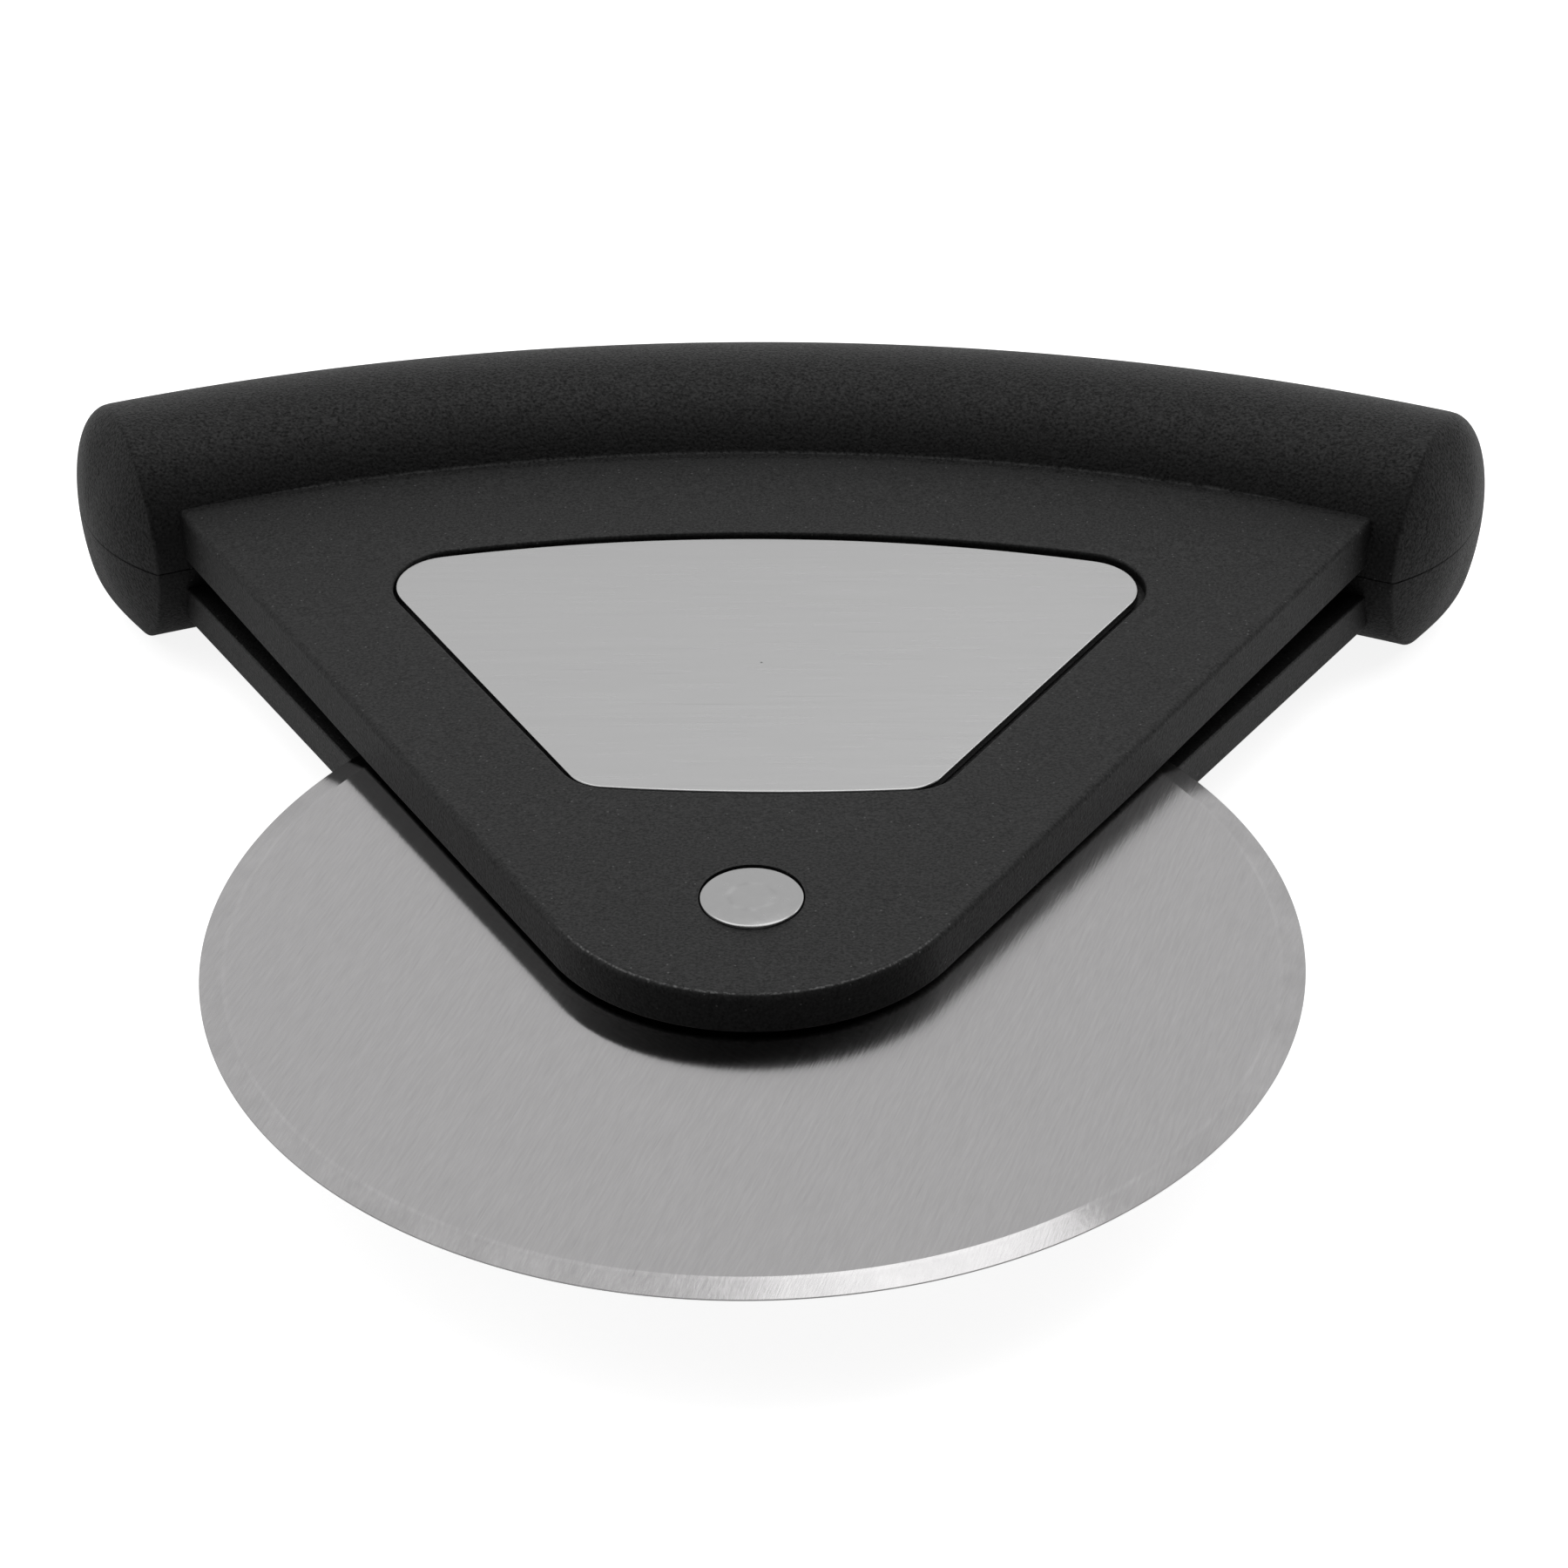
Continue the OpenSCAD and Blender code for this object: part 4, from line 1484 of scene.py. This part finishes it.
    def build(self) -> None:
        """Makes every piece."""
        self.shell(Side.FRONT)
        self.shell(Side.REAR)
        self.inlay()
        self.wheel_set()
        self.pivot_set()
        self.screws()


@dataclass(frozen=True)
class Patch:
    """A soft patch of the surroundings: its level and, for each soft step, an axis, a start and an end."""

    level: float
    steps: tuple[tuple[str, float, float], ...]

    def light(self, t: Tree, way: bpy.types.Node) -> Socket:
        """Level of the patch in a direction."""
        steps = [t.smooth(way.outputs[axis], start, end) for axis, start, end in self.steps]
        return t.product(*steps, self.level)


@dataclass(frozen=True)
class Lamp:
    """A soft rectangular lamp, in metres and watts, aimed at the part."""

    name: str
    place: Triple
    size: Pair
    watts: float

    def hang(self) -> None:
        """Puts the lamp in its place."""
        data = bpy.data.lights.new(self.name, "AREA")
        data.shape, data.energy = "RECTANGLE", self.watts
        data.size, data.size_y = self.size
        aim = Vector(self.place).to_track_quat("Z", "Y").to_matrix().to_4x4()
        new_object(self.name, data).matrix_world = Matrix.Translation(self.place) @ aim


@dataclass(frozen=True)
class Studio:
    """Camera, lights, floor and background.

    The camera is placed in millimetres about the target, and by pixels of the photograph. `behind` is the
    surroundings' level from the camera's side to the far one. The patches lie on it: `dark` takes light
    away, and `front` is only seen in reflections. `floor_bounce` is how bright reflections find the floor,
    along X in metres.
    """

    elevation: float = 33.2187
    azimuth: float = 1.7840
    roll: float = -0.5090
    distance: float = 394.838
    slide: Pair = (3.4384, 15.1010)
    focal_px: float = 5000.18
    centre_px: Pair = (906.801, 900.098)
    image_px: float = 1800.0
    sensor_mm: float = 36.0
    clip: Pair = (0.01, 20.0)
    target: Triple = (0.0, -27.325, -0.5)
    floor_z: float = -12.47
    floor_half: float = 3.0
    floor_grey: float = 0.6
    floor_seen: float = 0.88
    floor_bounce: Span = (0.03, 0.09, 0.16, 0.36)
    behind: Span = (-0.6, 0.25, 0.055, 0.87)
    right: Patch = Patch(0.5, (("X", 0.35, 0.7), ("Y", 0.3, 0.7)))
    left: Patch = Patch(0.3, (("X", -0.15, -0.8), ("Y", 0.6, 0.1), ("Y", -0.45, 0.0)))
    dark: Patch = Patch(0.6, (("X", 0.5, 0.7), ("Z", 0.12, 0.35)))
    front: Patch = Patch(0.4, (("Y", -0.5, -0.8), ("Z", 0.0, 0.08), ("Z", 0.5, 0.3)))
    lamps: tuple[Lamp, ...] = (
        Lamp("overhead", (0.0, 0.14, 1.0), (1.2, 0.56), 2.4),
        Lamp("window", (0.13, 0.585, 1.04), (0.26, 0.22), 0.31),
        Lamp("edge", (0.8, 0.42, 0.6), (0.35, 0.35), 0.75),
    )

    def camera(self) -> None:
        """The camera at the photograph's angle, with the shift that its frame needs."""
        e, a, r = (math.radians(v) for v in (self.elevation, self.azimuth, self.roll))
        back = Vector((math.sin(a) * math.cos(e), -math.cos(a) * math.cos(e), math.sin(e)))
        level = Vector((math.cos(a), math.sin(a), 0.0))
        upright = back.cross(level)
        right = math.cos(r) * level + math.sin(r) * upright
        up = -math.sin(r) * level + math.cos(r) * upright
        place = Vector(self.target) + back * self.distance + right * self.slide[0] + up * self.slide[1]
        data = bpy.data.cameras.new("camera")
        data.sensor_width = self.sensor_mm
        data.lens = self.sensor_mm * self.focal_px / self.image_px
        data.shift_x = (self.image_px / 2 - self.centre_px[0]) / self.image_px
        data.shift_y = (self.centre_px[1] - self.image_px / 2) / self.image_px
        data.clip_start, data.clip_end = self.clip
        made = new_object("camera", data)
        turn = Matrix((right, up, back)).transposed().to_4x4()
        made.matrix_world = Matrix.Translation(place * MM) @ turn
        bpy.context.scene.camera = made

    def world(self) -> None:
        """White background, and soft light that is dimmer from the camera's side."""
        world = bpy.data.worlds.new("studio")
        bpy.context.scene.world = world
        world.use_nodes = True
        t = Tree(world.node_tree)
        shader = world.node_tree.nodes["Background"]
        way = t.add("SeparateXYZ", None, Vector=t.add("TexCoord").outputs["Generated"])
        rays = t.add("LightPath").outputs
        behind = t.remap(way.outputs["Y"], *self.behind)
        lit = t.math("ADD", t.math("ADD", behind, self.right.light(t, way)), self.left.light(t, way))
        level = t.math("SUBTRACT", lit, self.dark.light(t, way), clamp=True)
        level = t.math("ADD", level, t.product(self.front.light(t, way), rays["Is Glossy Ray"]))
        light = t.add("CombineXYZ", None, X=level, Y=level, Z=level).outputs[0]
        t.plug(shader, Color=t.mix(rays["Is Camera Ray"], light, grey(1.0)), Strength=1.0)

    def floor(self) -> None:
        """A pale floor that keeps the shadow and looks white to the camera."""
        mesh = bpy.data.meshes.new("floor")
        size, z = self.floor_half, self.floor_z * MM
        corners = [(-size, -size, z), (size, -size, z), (size, size, z), (-size, size, z)]
        mesh.from_pydata(corners, [], [(0, 1, 2, 3)])
        made = new_object("floor", mesh)
        material = bpy.data.materials.new("floor")
        material.use_nodes = True
        t = Tree(material.node_tree)
        shader = material.node_tree.nodes["Principled BSDF"]
        rays = t.add("LightPath").outputs
        seen = t.product(rays["Is Camera Ray"], self.floor_seen)
        bounce = t.remap(t.axis(t.add("TexCoord").outputs["Object"], "X"), *self.floor_bounce)
        t.plug(
            shader,
            Base_Color=grey(self.floor_grey),
            Roughness=1.0,
            Specular_IOR_Level=0.0,
            Emission_Color=grey(1.0),
            Emission_Strength=t.math("ADD", seen, t.product(rays["Is Glossy Ray"], bounce)),
        )
        clear = t.add("BsdfTransparent").outputs[0]
        below = t.add("NewGeometry").outputs["Backfacing"]
        out = material.node_tree.nodes["Material Output"]
        mixed = t.add("MixShader", None, in0=below, in1=shader.outputs[0], in2=clear).outputs[0]
        t.tree.links.new(mixed, out.inputs["Surface"])
        mesh.materials.append(material)

    def build(self) -> None:
        """Sets up everything that isn't the part."""
        bpy.context.scene.view_settings.view_transform = "Standard"
        self.camera()
        self.world()
        self.floor()
        for lamp in self.lamps:
            lamp.hang()


def main() -> None:
    """Builds the part and its studio."""
    logging.basicConfig(level=logging.INFO, format="%(name)s: %(message)s")
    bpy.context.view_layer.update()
    low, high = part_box("blade")
    Cutter(Row(tuple((low + high) / 2))).build()
    Studio().build()


if __name__ == "__main__":
    main()
